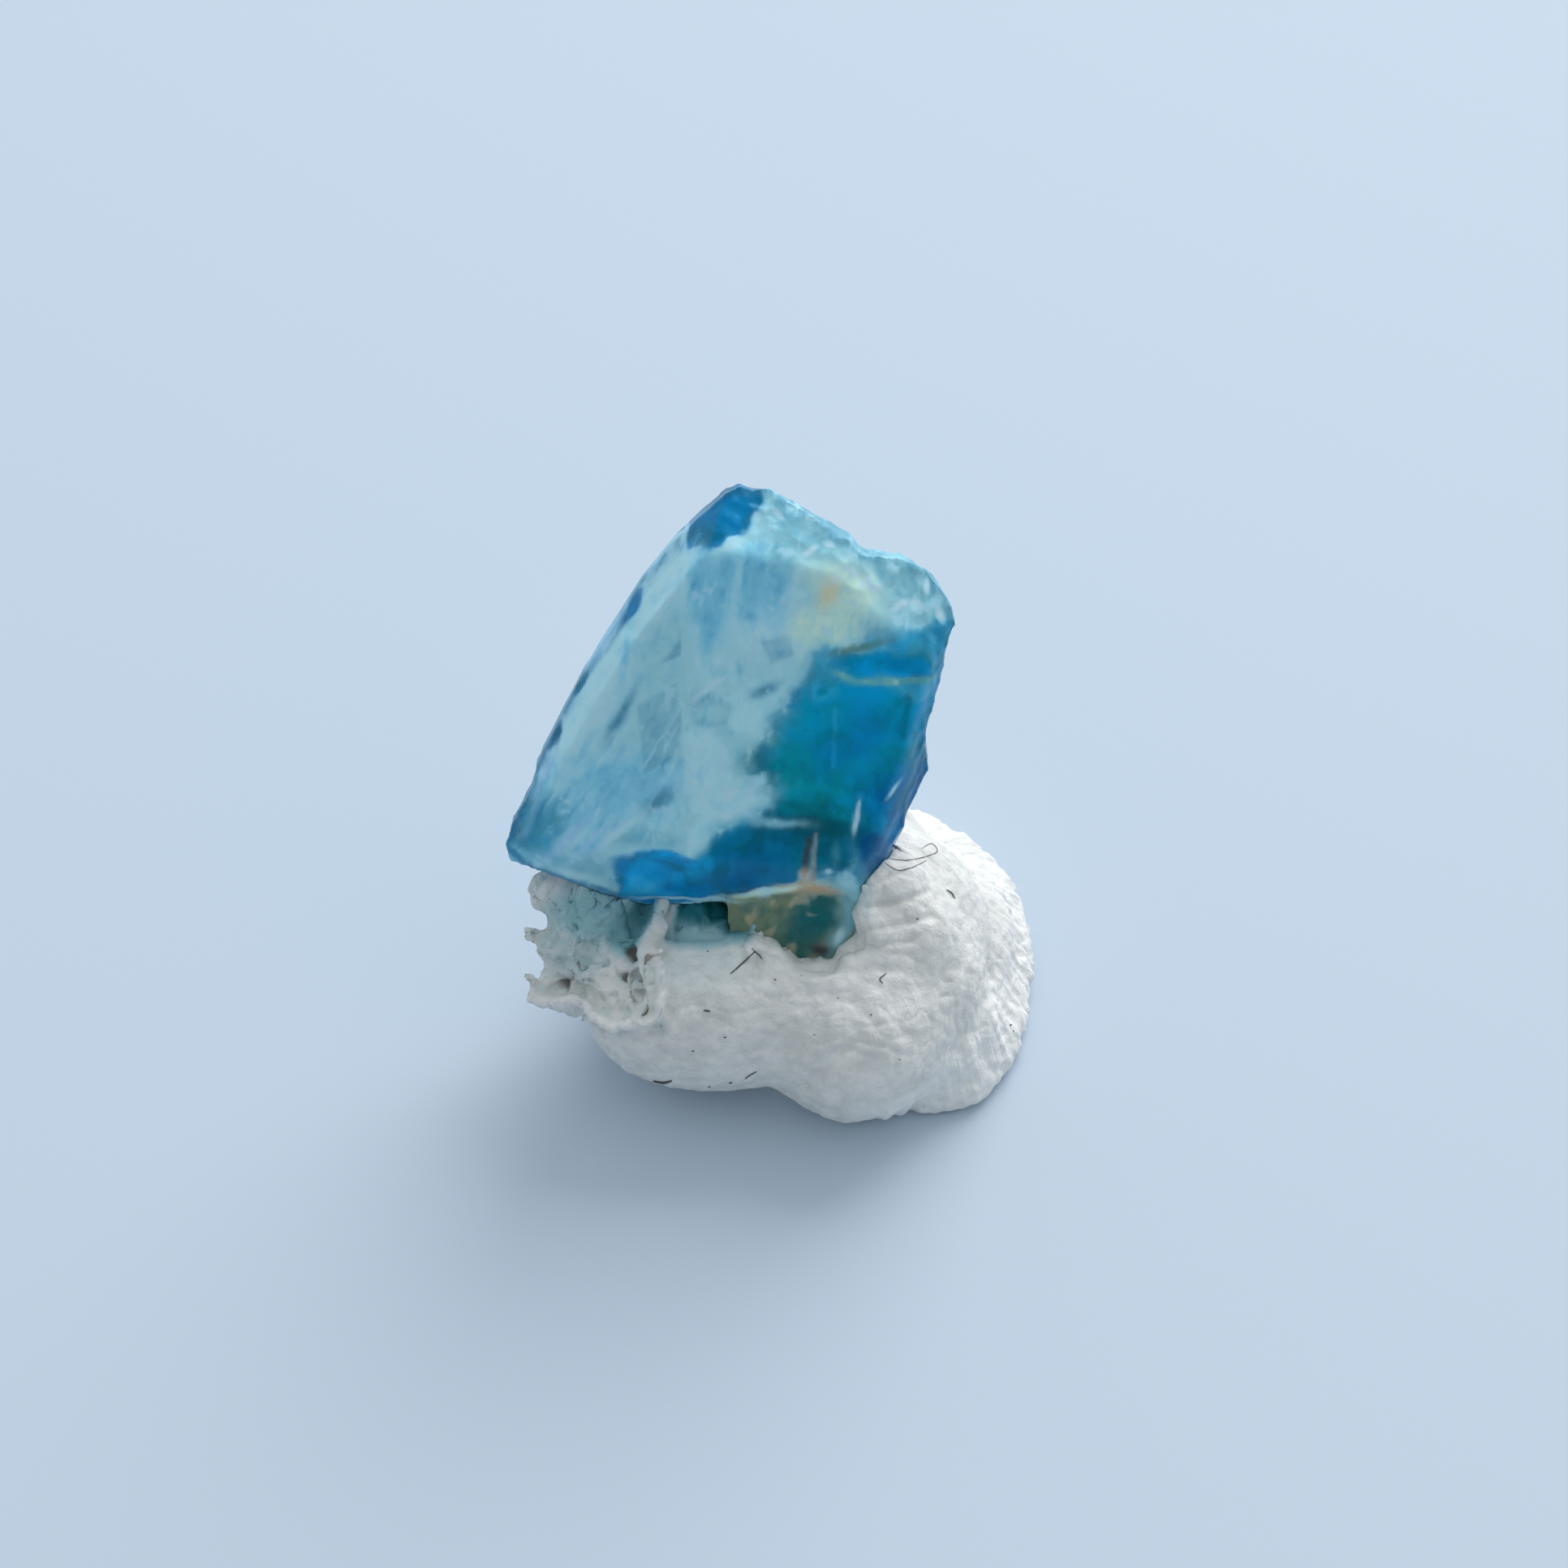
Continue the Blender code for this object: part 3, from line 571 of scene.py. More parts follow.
class Shader:
    """A material's nodes, with a short way of adding each kind."""

    def __init__(self, name):
        self.material = bpy.data.materials.new(name)
        self.material.use_nodes = True
        self.tree = self.material.node_tree
        self.surface = self.tree.nodes["Principled BSDF"]
        self.output = self.tree.nodes["Material Output"]

    def add(self, kind, **settings):
        """A new node of this kind, with its settings."""
        node = self.tree.nodes.new("ShaderNode" + kind)
        for name, value in settings.items():
            setattr(node, name, value)
        return node

    def feed(self, socket, value):
        """Links a socket to another, or sets its value."""
        if isinstance(value, bpy.types.NodeSocket):
            self.tree.links.new(value, socket)
        elif socket.type == "RGBA" and len(value) == 3:
            socket.default_value = (*value, 1.0)
        else:
            socket.default_value = value

    def set(self, **values):
        """Sets the surface's sockets. An underscore in a name stands for a space."""
        for name, value in values.items():
            self.feed(self.surface.inputs[name.replace("_", " ")], value)

    def object_place(self):
        """The place on the object, in millimetres."""
        return self.scaled(self.add("TexCoord").outputs["Object"], 1.0 / MM)

    def scaled(self, vector, scale):
        """A vector made longer or shorter."""
        node = self.add("VectorMath", operation="SCALE")
        self.feed(node.inputs[0], vector)
        node.inputs["Scale"].default_value = scale
        return node.outputs["Vector"]

    def vector(self, operation, a, b):
        """Two vectors added, subtracted or multiplied into one number."""
        node = self.add("VectorMath", operation=operation)
        self.feed(node.inputs[0], a)
        self.feed(node.inputs[1], b)
        return node.outputs["Value" if operation == "DOT_PRODUCT" else "Vector"]

    def math(self, operation, a, b):
        """Two numbers put together."""
        node = self.add("Math", operation=operation)
        self.feed(node.inputs[0], a)
        self.feed(node.inputs[1], b)
        return node.outputs[0]

    def times(self, a, b):
        """One number times another."""
        return self.math("MULTIPLY", a, b)

    def within(self, place, middle=(0.0, 0.0, 0.0), turn=(0.0, 0.0, 0.0), size=(1.0, 1.0, 1.0)):
        """The place as measured in a frame that is moved, turned and scaled."""
        node = self.add("Mapping", vector_type="TEXTURE")
        self.feed(node.inputs["Vector"], place)
        node.inputs["Location"].default_value = middle
        node.inputs["Rotation"].default_value = turn
        node.inputs["Scale"].default_value = size
        return node.outputs["Vector"]

    def along_x(self, value):
        """A place that has only this number, as its x."""
        node = self.add("CombineXYZ")
        self.feed(node.inputs[0], value)
        return node.outputs[0]

    def noise(self, place, scale, detail=3.0, rough=0.55, bend=0.0, kind="Fac"):
        """Cloudy noise with features about 1 / scale wide."""
        node = self.add("TexNoise")
        self.feed(node.inputs["Vector"], place)
        node.inputs["Scale"].default_value = scale
        node.inputs["Detail"].default_value = detail
        node.inputs["Roughness"].default_value = rough
        node.inputs["Distortion"].default_value = bend
        return node.outputs[kind]

    def warped(self, place, scale, amount, detail=2.0):
        """The place moved about by noise, by up to half the amount either way."""
        moved = self.vector("SUBTRACT", self.noise(place, scale, detail, kind="Color"), (0.5, 0.5, 0.5))
        return self.vector("ADD", place, self.scaled(moved, amount))

    def span(self, value, low, high, to_low=0.0, to_high=1.0):
        """Maps low to high onto to_low to to_high, smoothly and held at both ends."""
        node = self.add("MapRange", interpolation_type="SMOOTHSTEP")
        self.feed(node.inputs["Value"], value)
        node.inputs["From Min"].default_value = low
        node.inputs["From Max"].default_value = high
        node.inputs["To Min"].default_value = to_low
        node.inputs["To Max"].default_value = to_high
        return node.outputs["Result"]

    def mix(self, share, a, b, blend="MIX"):
        """The first colour where the share is 0, blended with the second where it is 1."""
        node = self.add("Mix", data_type="RGBA", blend_type=blend)
        for socket, value in zip((0, 6, 7), (share, a, b)):  # its factor and its two colours
            self.feed(node.inputs[socket], value)
        return node.outputs[2]

    def attribute(self, name, kind="Fac"):
        """What the mesh stores under this name."""
        return self.add("Attribute", attribute_name=name).outputs[kind]

    def bump(self, height, depth, strength=1.0, under=None):
        """Fine relief of this depth, in millimetres."""
        node = self.add("Bump")
        node.inputs["Strength"].default_value = strength
        node.inputs["Distance"].default_value = depth * MM
        self.feed(node.inputs["Height"], height)
        if under:
            self.feed(node.inputs["Normal"], under)
        return node.outputs["Normal"]

    def red_of(self, colour):
        """How much red a colour has."""
        node = self.add("SeparateColor")
        self.feed(node.inputs[0], colour)
        return node.outputs["Red"]


def blended(colour, share, name):
    """Colours moved towards one of the crystal's, by a share for each point."""
    return colour + share[:, None] * (np.array(tint(name)) - colour)


def laid_over(colour, zones, flat):
    """Lays soft-edged ellipses of colour over each other."""
    for name, middle, half_width, half_height, turn, soft in zones:
        off = flat - np.array(middle)
        along = np.array((cos(radians(turn)), sin(radians(turn))))
        across = np.array((-along[1], along[0]))
        size = np.hypot(off @ along / half_width, off @ across / half_height)
        colour = blended(colour, ease(size, 1.0 + soft, 1.0 - soft), name)
    return colour


def with_patches(colour, patches, flat):
    """Lays patches with straight crisp edges over the colours."""
    for name, most, corners in patches:
        ring = np.array(corners + corners[:1])
        inside = np.zeros(len(flat), bool)
        for (x0, z0), (x1, z1) in zip(ring[:-1], ring[1:]):
            crosses = (z0 > flat[:, 1]) != (z1 > flat[:, 1])
            with np.errstate(divide="ignore", invalid="ignore"):
                inside ^= crosses & (flat[:, 0] < x0 + (flat[:, 1] - z0) * (x1 - x0) / (z1 - z0))
        depth = distance_to(flat, ring) * np.where(inside, 1.0, -1.0)
        colour = blended(colour, most * ease(depth, -0.03, 0.05), name)
    return colour


def zone_colours(points):
    """The crystal's colour at each point of its own frame: clouds, zones, a painted dark shade along its
    outline, and stains.
    """
    far = warp(warp(points, 0.7, 0.35, 1.0), 2.0, 0.17, 2.0)
    far = warp(warp(far, 4.5, 0.08, 3.0), 9.0, 0.035, 8.0)
    near = warp(warp(points, 1.6, 0.06, 4.0), 5.0, 0.022, 9.0)
    cloud = noise_at(far, 1.1, 5.0) + 0.5 * noise_at(far, 2.5, 6.0) + 0.3 * noise_at(far, 5.5, 7.0)
    colour = blended(np.array(tint("milk")), ease(cloud, -0.1, 0.45), "grey")
    colour = laid_over(colour, ZONES, far[:, [0, 2]])
    # Painted shade along the outline: slate near the top left, ink elsewhere
    rim = ease(distance_to(points[:, [0, 2]], RIM_LINE), 0.16, 0.02)
    top = ease(points[:, 0], -1.0, -0.5) * ease(points[:, 2], 6.8, 7.4)
    colour = blended(colour, 0.5 * rim * top, "slate")
    colour = blended(colour, 0.6 * rim * (1.0 - top), "ink")
    wedge = ease(points[:, 0], -1.1, -0.8) * ease(points[:, 0], 1.3, 0.9)
    stained = wedge * ease(points[:, 2], 1.75, 1.45)
    for name, seed, most in (("umber", 51.0, 0.16), ("rust", 52.0, 0.55), ("sea", 53.0, 0.22)):
        share = most * stained * ease(noise_at(far, 3.0, seed), 0.05, 0.40)
        colour = blended(colour, share, name)
    colour = with_patches(colour, PATCHES, near[:, [0, 2]])
    return laid_over(colour, MARKS, near[:, [0, 2]])


def euclase_material():
    """Blue crystal, clear in its deep zones and clouded by veils elsewhere, stained at its foot."""
    s = Shader("euclase")
    place = s.within(s.object_place(), CRYSTAL_FOOT, (-LEAN, 0.0, 0.0))
    near = s.warped(place, 3.0, 0.16)
    axes = s.add("SeparateXYZ")
    s.feed(axes.inputs[0], place)
    right_side = s.span(axes.outputs["X"], RIDGE_X - 0.1, RIDGE_X + 0.1)
    left = s.within(near, turn=(0.0, STRIAE_TURN, 0.0), size=(0.16, 1.5, 0.9))
    right = s.within(near, turn=(0.0, 0.10, 0.0), size=(0.26, 1.5, 0.75))
    streaks = s.mix(right_side, s.noise(left, 1.0, 2.5), s.noise(right, 1.0, 2.5))
    colour = s.attribute("zones", "Color")
    above_stain = s.span(axes.outputs["Z"], 1.2, 1.7)
    milky = s.times(s.span(s.red_of(colour), 0.0, 0.30), above_stain)
    patchy = s.span(s.noise(place, 0.8, 2.0), 0.42, 0.58, 0.15, 1.0)
    light = s.times(s.span(streaks, 0.52, 0.70, 0.0, 0.65), s.times(milky, patchy))
    colour = s.mix(light, colour, tint("mist"))
    dark = s.times(s.span(streaks, 0.47, 0.32, 0.0, 0.30), patchy)
    colour = s.mix(dark, colour, tint("brush"), "MULTIPLY")
    veil = s.noise(s.warped(place, 1.2, 0.25), 2.2, 3.5, 0.6)
    light = s.times(s.span(veil, 0.53, 0.66, 0.0, 0.60), milky)
    colour = s.mix(light, colour, tint("frost"))
    colour = s.mix(s.span(veil, 0.50, 0.34, 0.0, 0.16), colour, tint("sky"), "MULTIPLY")
    blotch = s.noise(s.warped(place, 1.0, 0.3), 1.5, 3.0)
    clear_side = s.times(s.math("SUBTRACT", 1.0, milky), above_stain)
    colour = s.mix(s.times(s.span(blotch, 0.50, 0.68, 0.0, 0.50), clear_side), colour, tint("azure"))
    colour = s.mix(s.times(s.span(blotch, 0.52, 0.36, 0.0, 0.55), clear_side), colour, tint("pine"))
    milkiness = s.red_of(colour)
    clear = s.span(milkiness, 0.02, 0.40, 0.62, 0.05)
    gloss = s.span(milkiness, 0.02, 0.30, 0.26, 0.42)
    ripple = s.bump(s.noise(place, 5.0, 4.0), 0.02, 0.35)
    s.set(Base_Color=colour, Transmission_Weight=clear, Roughness=gloss, IOR=1.65, Normal=ripple)
    s.set(Specular_IOR_Level=0.12, Specular_Tint=(0.05, 0.55, 1.0), Coat_Weight=0.10, Coat_Roughness=0.10)
    absorb = s.add("VolumeAbsorption")
    absorb.inputs["Color"].default_value = (0.35, 0.85, 0.95, 1.0)
    absorb.inputs["Density"].default_value = 30.0
    s.feed(s.output.inputs["Volume"], absorb.outputs["Volume"])
    return s.material


def crystal_relief(points, normals):
    """How far each point of the crystal stands out: striations, waves, chips and the rough wedge."""
    faceward = np.abs(normals[:, 1]) ** 2
    across_left = points @ np.array((cos(STRIAE_TURN), 0.0, -sin(STRIAE_TURN)))
    along_left = points @ np.array((sin(STRIAE_TURN), 0.0, cos(STRIAE_TURN)))
    on_right = ease(points[:, 0], RIDGE_X - 0.15, RIDGE_X + 0.15)
    across = across_left + (points[:, 0] - across_left) * on_right
    along = along_left + (points[:, 2] - along_left) * on_right
    grain = np.c_[across, points[:, 1] * 0.2, along * 0.14]
    height = (0.028 * noise_at(grain, 1.9) + 0.016 * noise_at(grain, 5.0, 9.0)) * faceward
    height += 0.035 * noise_at(points, 0.55, 3.0) + 0.012 * noise_at(points, 2.4, 4.0)
    chipped = np.zeros(len(points))
    for line, reach in BROKEN_EDGES:
        chipped = np.maximum(chipped, ease(distance_to(points[:, [0, 2]], line), reach, reach * 0.25))
    rng = np.random.default_rng(7)
    height += 0.10 * chipped * (0.6 - scallops(points, chipped > 0.1, 0.50, rng))
    height += 0.025 * chipped * (0.6 - scallops(points, chipped > 0.2, 0.26, rng))
    stained = ease(points[:, 2], 1.7, 1.3) * ease(points[:, 0], -1.1, -0.7)
    return height + stained * (0.09 * noise_at(points, 1.7, 5.0) + 0.035 * noise_at(points, 4.5, 6.0))


def make_crystal():
    """The fragment: flat faces with striations, chipped rims and a rough stained wedge."""
    solid = copied("euclase_crystal", TO_MM @ crystal_place.inverted())
    mesh = remeshed(solid, CRYSTAL_VOXEL, 1)
    settle(mesh, solid)
    relax(mesh, np.ones(len(mesh.vertices)), 1)
    relax(mesh, ease(-mesh_normals(mesh)[:, 1], 0.35, 0.75), 25)
    flat = mesh_points(mesh)[:, [0, 2]]
    relax(mesh, ease(distance_to(flat, SIDE_EDGE), 0.55, 0.20), 60)
    points = mesh_points(mesh)
    raise_points(mesh, crystal_relief(points, mesh_normals(mesh)))
    store(mesh, "zones", zone_colours(points))
    mesh.transform(TO_MM @ drawing_place.inverted() @ crystal_place @ TO_METRES)
    crystal = piece("euclase", mesh, drawing_place, euclase_material(), "euclase_crystal")
    mesh.set_sharp_from_angle(angle=radians(35.0))
    return crystal


def putty_material():
    """Matt white putty, mottled by kneading, grey with painted teal light where it is torn, painted teal
    where the crystal shades it.
    """
    s = Shader("putty")
    place = s.object_place()
    mottle = s.noise(place, 1.6, 5.0, 0.62)
    fleck = s.noise(place, 5.0, 4.0, 0.6)
    shade = s.attribute("shade")
    colour = s.mix(s.span(mottle, 0.35, 0.65), (0.76, 0.76, 0.73), (0.90, 0.89, 0.86))
    colour = s.mix(s.span(fleck, 0.50, 0.70, 0.0, 0.30), colour, (0.62, 0.64, 0.62))
    # Skirt made whiter: partly its own white fringe, partly painted light where it faces up to the lamp
    colour = s.mix(s.times(s.attribute("skirt"), 0.8), colour, (0.95, 0.95, 0.93))
    # Torn film: greyer, with painted teal light that comes through the crystal
    colour = s.mix(s.span(s.attribute("torn"), 0.0, 1.0, 0.0, 0.60), colour, (0.68, 0.83, 0.81))
    colour = s.mix(s.span(shade, 0.0, 0.65), colour, (0.31, 0.56, 0.61))
    colour = s.mix(s.span(shade, 0.45, 1.0), colour, (0.0, 0.15, 0.185))
    colour = s.mix(s.span(s.attribute("rim"), 0.2, 0.9, 0.0, 0.80), colour, (0.93, 0.93, 0.91))
    # Painted shade: dark brown inside the deep narrow pits
    colour = s.mix(s.span(s.attribute("pit_shade"), 0.1, 0.8, 0.0, 0.75), colour, (0.26, 0.20, 0.17))
    kneaded = s.noise(place, 4.5, 6.0, 0.65, 0.5)
    flow = s.vector("SUBTRACT", s.warped(place, 0.8, 0.3), DOME_MIDDLE)
    line = s.along_x(s.vector("DOT_PRODUCT", flow, FLOW_AXIS))
    lines = s.noise(s.vector("ADD", line, s.scaled(place, 0.08)), 9.0)
    ray = s.along_x(s.attribute("around"))
    rays = s.noise(s.vector("ADD", ray, s.scaled(place, 0.02)), 30.0, 4.0)
    under = s.bump(s.times(rays, s.attribute("skirt")), 0.12, 0.5, s.bump(kneaded, 0.10, 0.6))
    s.set(Base_Color=colour, Roughness=0.62, Specular_IOR_Level=0.35)
    s.set(Normal=s.bump(lines, 0.08, 0.5, under))
    return s.material


def torn_share(points, flat):
    """1 on the torn porous patch at the upper left, 0 away from it."""
    left = ease(flat[:, 0], -2.25, -2.55)
    return left * ease(points[:, 2], 1.6, 2.1) * ease(flat[:, 1], -5.35, -4.95)


def knead(mesh):
    """Uneven surface of the putty: lumps, creases and arcs, and pores and pits where it is torn."""
    points = mesh_points(mesh)
    normals = mesh_normals(mesh)
    flat = seen(points)
    toward = ease(normals @ -VIEW, 0.0, 0.35)
    above = ease(points[:, 2], 0.0, 0.3)
    torn = torn_share(points, flat) * (1.0 - 0.85 * ease(distance_to(flat, STRAND_LINE), 0.32, 0.16))
    height = 0.05 * noise_at(points, 0.6, 1.0) + 0.035 * noise_at(points, 1.7, 2.0)
    height += 0.034 * noise_at(points, 4.0, 3.0)
    stretched = warp(points * (0.5, 1.0, 1.0), 1.0, 0.3, 61.0)
    height -= 0.03 * np.maximum(1.0 - 6.0 * np.abs(noise_at(stretched, 2.8, 5.0)), 0.0)
    flow = warp(points, 1.2, 0.12, 31.0) - DOME_MIDDLE
    arcs = np.c_[flow @ FLOW_AXIS, flow[:, 0] * 0.10, flow[:, 1] * 0.10]
    height += 0.030 * ease(points[:, 0], 1.6, 3.0) * noise_at(arcs, 3.6, 32.0)
    for line, width, rise in WRINKLES:
        away = distance_to(flat, line)
        height += rise * np.exp(-(away / width) ** 2) * toward
    web = 1.0 - 2.6 * np.abs(noise_at(warp(points, 2.0, 0.15, 41.0), 2.6, 7.0))
    web = np.maximum(web, 1.0 - 3.0 * np.abs(noise_at(points, 5.0, 8.0)))
    height += torn * (0.09 * web - 0.13 + 0.05 * noise_at(points, 3.0, 9.0))
    rim = np.exp(-(distance_to(flat, TORN_RIM) / 0.11) ** 2) * toward
    height += 0.26 * rim * (0.8 + noise_at(points, 4.0, 6.0))
    pit_shade = np.zeros(len(points))
    bent = flat + 0.07 * np.c_[noise_at(points, 5.0, 21.0), noise_at(points, 5.0, 22.0)]
    for middle, radius, depth in PITS:
        away = np.linalg.norm(bent - np.array(middle), axis=1)
        lip = 0.10 * np.exp(-((away - radius * 1.15) / (radius * 0.3)) ** 2)
        height += depth * toward * torn * (lip - ease(away, radius * 1.05, radius * 0.45))
        if depth > 0.15 and radius < 0.3:  # the deep narrow ones get painted shade inside
            pit_shade = np.maximum(pit_shade, ease(away, radius, radius * 0.5) * toward)
    points += normals * (height * above)[:, None]
    points[:, 2] = np.maximum(points[:, 2], 0.0)
    set_points(mesh, points)
    store(mesh, "torn", torn * ease(web, 0.9, 0.1) * (1.0 - rim))
    store(mesh, "rim", rim)
    store(mesh, "pit_shade", pit_shade)


def shade_putty(mesh):
    """Marks where the crystal shades the putty, leaving the strand and the raised rim pale."""
    points = mesh_points(mesh)
    flat = seen(points)
    bent = flat + 0.05 * np.c_[noise_at(points, 4.0, 21.0), noise_at(points, 4.0, 22.0)]
    shade = np.zeros(len(points))
    for middle, half_width, half_height, most in SHADES:
        size = np.linalg.norm((bent - np.array(middle)) / (half_width, half_height), axis=1)
        shade = np.maximum(shade, most * ease(size, 1.5, 0.5))
    on_strand = ease(distance_to(flat, STRAND_LINE), 0.28, 0.12)
    pale = np.maximum(on_strand, ease(distance_to(flat, TORN_RIM), 0.20, 0.05))
    store(mesh, "shade", shade * (1.0 - 0.7 * pale) * ease(points[:, 2], 1.9, 2.7))


def flute_skirt(mesh):
    """Soft uneven flutes and a ragged fringe in place of the skirt's even ones."""
    points = mesh_points(mesh)
    out = points[:, :2] - SKIRT_MIDDLE
    around = np.arctan2(out[:, 1], out[:, 0])
    shell = np.linalg.norm((points - DOME_MIDDLE) / DOME_RADII, axis=1)
    skirt = ease(shell, 1.0, 1.1) * ease(points[:, 2], 1.9, 1.3) * ease(points[:, 0], 1.2, 2.2)
    relax(mesh, skirt, 70)
    points = mesh_points(mesh)
    normals = mesh_normals(mesh)
    reach = np.linalg.norm(out, axis=1)
    ray = np.c_[around * 4.4, reach * 0.22, np.zeros(len(points))]
    flutes = 0.08 * noise_at(ray, 2.3, 11.0) + 0.05 * noise_at(ray, 5.0, 12.0)
    fringe = ease(reach, 2.6, 3.8)
    rough = 0.03 * noise_at(points, 5.0, 4.0)
    set_points(mesh, points + normals * (skirt * (flutes * fringe + rough))[:, None])
    store(mesh, "skirt", skirt)
    store(mesh, "around", around)


def make_putty(crystal):
    """The wad of putty, pressed against the crystal all round the socket."""
    solid = copied("putty_mount", TO_MM @ drawing_place.inverted())
    bm = bmesh.new()
    bm.from_mesh(solid)
    for centre, radii in FILLS:
        blob(bm, centre, radii)
    for stations in ROLLS:
        roll(bm, stations)
    bm.to_mesh(solid)
    bm.free()
    mesh = remeshed(solid, PUTTY_VOXEL, 6)
    relax(mesh, ease(np.linalg.norm(mesh_points(mesh) - PULLED_MIDDLE, axis=1), 1.9, 0.9), 40)
    flute_skirt(mesh)
    points = mesh_points(mesh)
    for middle, reach, move in DENTS:
        share = ease(np.linalg.norm(points - np.array(middle), axis=1), reach, reach * 0.3)
        points += share[:, None] * np.array(move)
    set_points(mesh, points)
    knead(mesh)
    press_to(mesh, crystal)
    shade_putty(mesh)
    return piece("putty", mesh, drawing_place, putty_material(), "putty_mount")


def press_to(mesh, crystal):
    """Closes the clearance: the putty that faces the crystal closely all but touches it."""
    reach = 0.80  # the putty nearer than this is drawn to the crystal
    clearance = 0.38  # a gap up to this closes fully
    rest = 0.015  # what is left of it
    tree = surface_tree(crystal.data, TO_MM @ drawing_place.inverted() @ crystal.matrix_world)
    points = mesh_points(mesh)
    normals = mesh_normals(mesh)
    for i, point in enumerate(points.tolist()):
        nearest, normal, _, away = tree.find_nearest(point, reach)
        if nearest is None:
            continue
        outward = Vector(point) - nearest
        if outward.dot(normal) < 0.0:
            points[i] = nearest + normal * rest
            continue
        facing = -outward.dot(Vector(normals[i])) / max(away, 1e-6)
        wanted = rest + max(0.0, away - clearance) * (reach - rest) / (reach - clearance)
        share = min(1.0, max(0.0, facing * 2.0))
        if away > 1e-6:
            points[i] = nearest + outward * (1.0 + (min(wanted, away) / away - 1.0) * share)
    set_points(mesh, points)


def on_surface(tree, places, lift):
    """Places of the picture, moved back onto the surface and lifted off it a little."""
    found = []
    for right, up in places:
        way = Vector(CAMERA_DISTANCE * VIEW + right * RIGHT + up * UP).normalized()
        place, normal, _, _ = tree.ray_cast(Vector(CAMERA_PLACE), way)
        if place is not None:
            found.append(place + normal * lift)
    return found


def smooth_line(places, steps=8):
    """A curve through places in the picture, bending evenly at each."""
    ends = np.array([places[0], *places, places[-1]])
    line = []
    for a, b, c, d in zip(ends, ends[1:], ends[2:], ends[3:]):
        for t in np.arange(steps) / steps:
            bend = (2 * a - 5 * b + 4 * c - d) * t**2 + (3 * b - a - 3 * c + d) * t**3
            line.append(b + 0.5 * ((c - a) * t + bend))
    return line + [ends[-1]]


def add_fibre(bm, line, thick, sides=6):
    """A fine thread along places on the putty, thinner at both ends."""
    rings = []
    for k, place in enumerate(line):
        ahead = (line[min(k + 1, len(line) - 1)] - line[max(k - 1, 0)]).normalized()
        side = ahead.orthogonal().normalized()
        radius = thick * (0.25 + 0.75 * sin(pi * (k + 0.5) / len(line)) ** 0.5)
        turns = [Matrix.Rotation(tau * j / sides, 3, ahead) for j in range(sides)]
        rings.append([bm.verts.new(place + turn @ side * radius) for turn in turns])
    for first, second in zip(rings[:-1], rings[1:]):
        for j in range(sides):
            bm.faces.new((first[j], first[j - 1], second[j - 1], second[j]))
    bm.faces.new(rings[0])
    bm.faces.new(rings[-1][::-1])


def make_lint(putty):
    """Short fibres and specks stuck to the putty."""
    s = Shader("lint")
    s.set(Base_Color=(0.10, 0.10, 0.10), Roughness=0.8)
    tree = surface_tree(putty.data, TO_MM)
    bm = bmesh.new()
    for places, thick in FIBRES:
        line = on_surface(tree, smooth_line(places), thick * 0.9)
        if len(line) > 2:
            add_fibre(bm, line, thick)
    for right, up, size in SPECKS:
        for place in on_surface(tree, [(right, up)], size * 0.2):
            blob(bm, place, (size, size * 0.6, size * 0.5), 1)
    mesh = bpy.data.meshes.new("lint")
    bm.to_mesh(mesh)
    bm.free()
    return piece("lint", mesh, drawing_place, s.material)


def stage_floor():
    """The plain pale floor, just under the part."""
    bm = bmesh.new()
    bmesh.ops.create_grid(bm, x_segments=1, y_segments=1, size=1.5)
    mesh = bpy.data.meshes.new("floor")
    bm.to_mesh(mesh)
    bm.free()
    s = Shader("floor")
    s.set(Base_Color=(0.56, 0.66, 0.765), Roughness=0.7)
    mesh.materials.append(s.material)
    floor = bpy.data.objects.new("floor", mesh)
    floor.location.z = -0.01 * MM
    bpy.context.scene.collection.objects.link(floor)


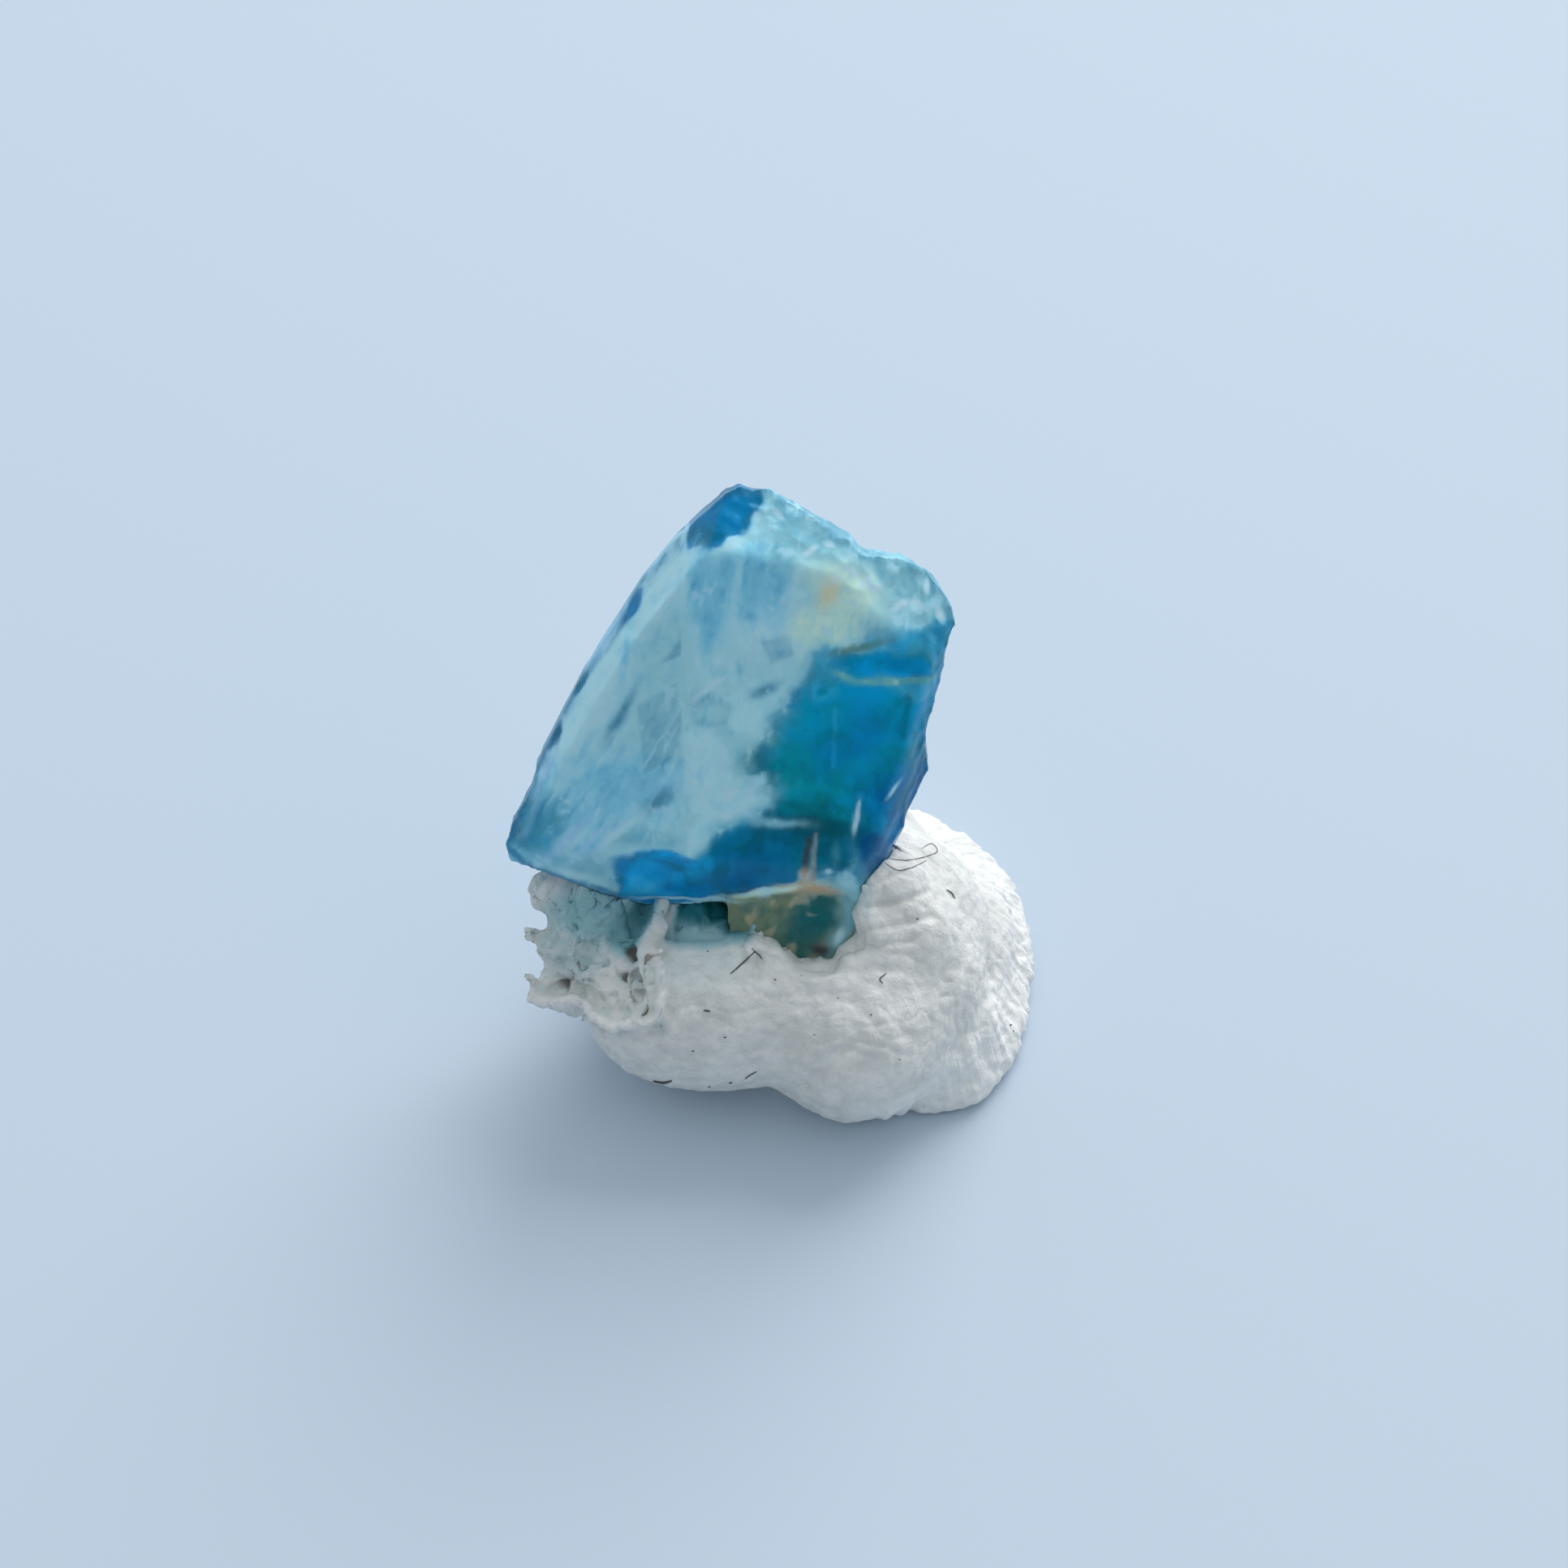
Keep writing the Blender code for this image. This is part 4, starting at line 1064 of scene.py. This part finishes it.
def world_light():
    """Even light from all round, brighter from above and behind than from the viewer's side."""
    world = bpy.data.worlds.new("studio")
    bpy.context.scene.world = world
    world.use_nodes = True
    tree = world.node_tree
    direction = tree.nodes.new("ShaderNodeTexCoord").outputs["Generated"]
    toward = tree.nodes.new("ShaderNodeVectorMath")
    toward.operation = "DOT_PRODUCT"
    toward.inputs[1].default_value = (0.1, 0.6, 0.8)
    tree.links.new(direction, toward.inputs[0])
    share = tree.nodes.new("ShaderNodeMapRange")
    share.inputs["From Min"].default_value = -0.5
    share.inputs["From Max"].default_value = 0.9
    tree.links.new(toward.outputs["Value"], share.inputs["Value"])
    colour = tree.nodes.new("ShaderNodeMix")
    colour.data_type = "RGBA"
    colour.inputs[6].default_value = (0.26, 0.29, 0.315, 1.0)
    colour.inputs[7].default_value = (0.66, 0.72, 0.77, 1.0)
    tree.links.new(share.outputs["Result"], colour.inputs[0])
    tree.links.new(colour.outputs[2], tree.nodes["Background"].inputs["Color"])
    tree.nodes["Background"].inputs["Strength"].default_value = 1.0


def area_light(name, place, aim, size, power, colour):
    """A round soft light, with its place, aim and size in millimetres."""
    data = bpy.data.lights.new(name, "AREA")
    data.shape = "DISK"
    data.size = size * MM
    data.energy = power
    data.color = colour
    lamp = bpy.data.objects.new(name, data)
    bpy.context.scene.collection.objects.link(lamp)
    lamp.location = Vector(place) * MM
    way = (Vector(aim) - Vector(place)).normalized()
    lamp.rotation_euler = way.to_track_quat("-Z", "Y").to_euler()


def set_camera():
    """The photo's view, from above the front."""
    data = bpy.data.cameras.new("camera")
    data.sensor_width = SENSOR_WIDTH
    data.lens = SENSOR_WIDTH * CAMERA_DISTANCE / PICTURE_WIDTH
    data.clip_start = 0.01
    camera = bpy.data.objects.new("camera", data)
    bpy.context.scene.collection.objects.link(camera)
    camera.location = drawing_place @ Vector(CAMERA_PLACE * MM)
    camera.rotation_euler = (radians(90.0) - CAMERA_ELEVATION, 0.0, 0.0)
    bpy.context.scene.camera = camera


def main():
    """Dresses the part, then lights it and sets the camera."""
    crystal = make_crystal()
    make_lint(make_putty(crystal))
    stage_floor()
    world_light()
    area_light("window", (120.0, 250.0, 195.0), (0.0, 0.0, 0.0), 280.0, 0.86, (1.0, 0.98, 0.96))
    set_camera()
    bpy.context.scene.view_settings.view_transform = "Standard"


main()
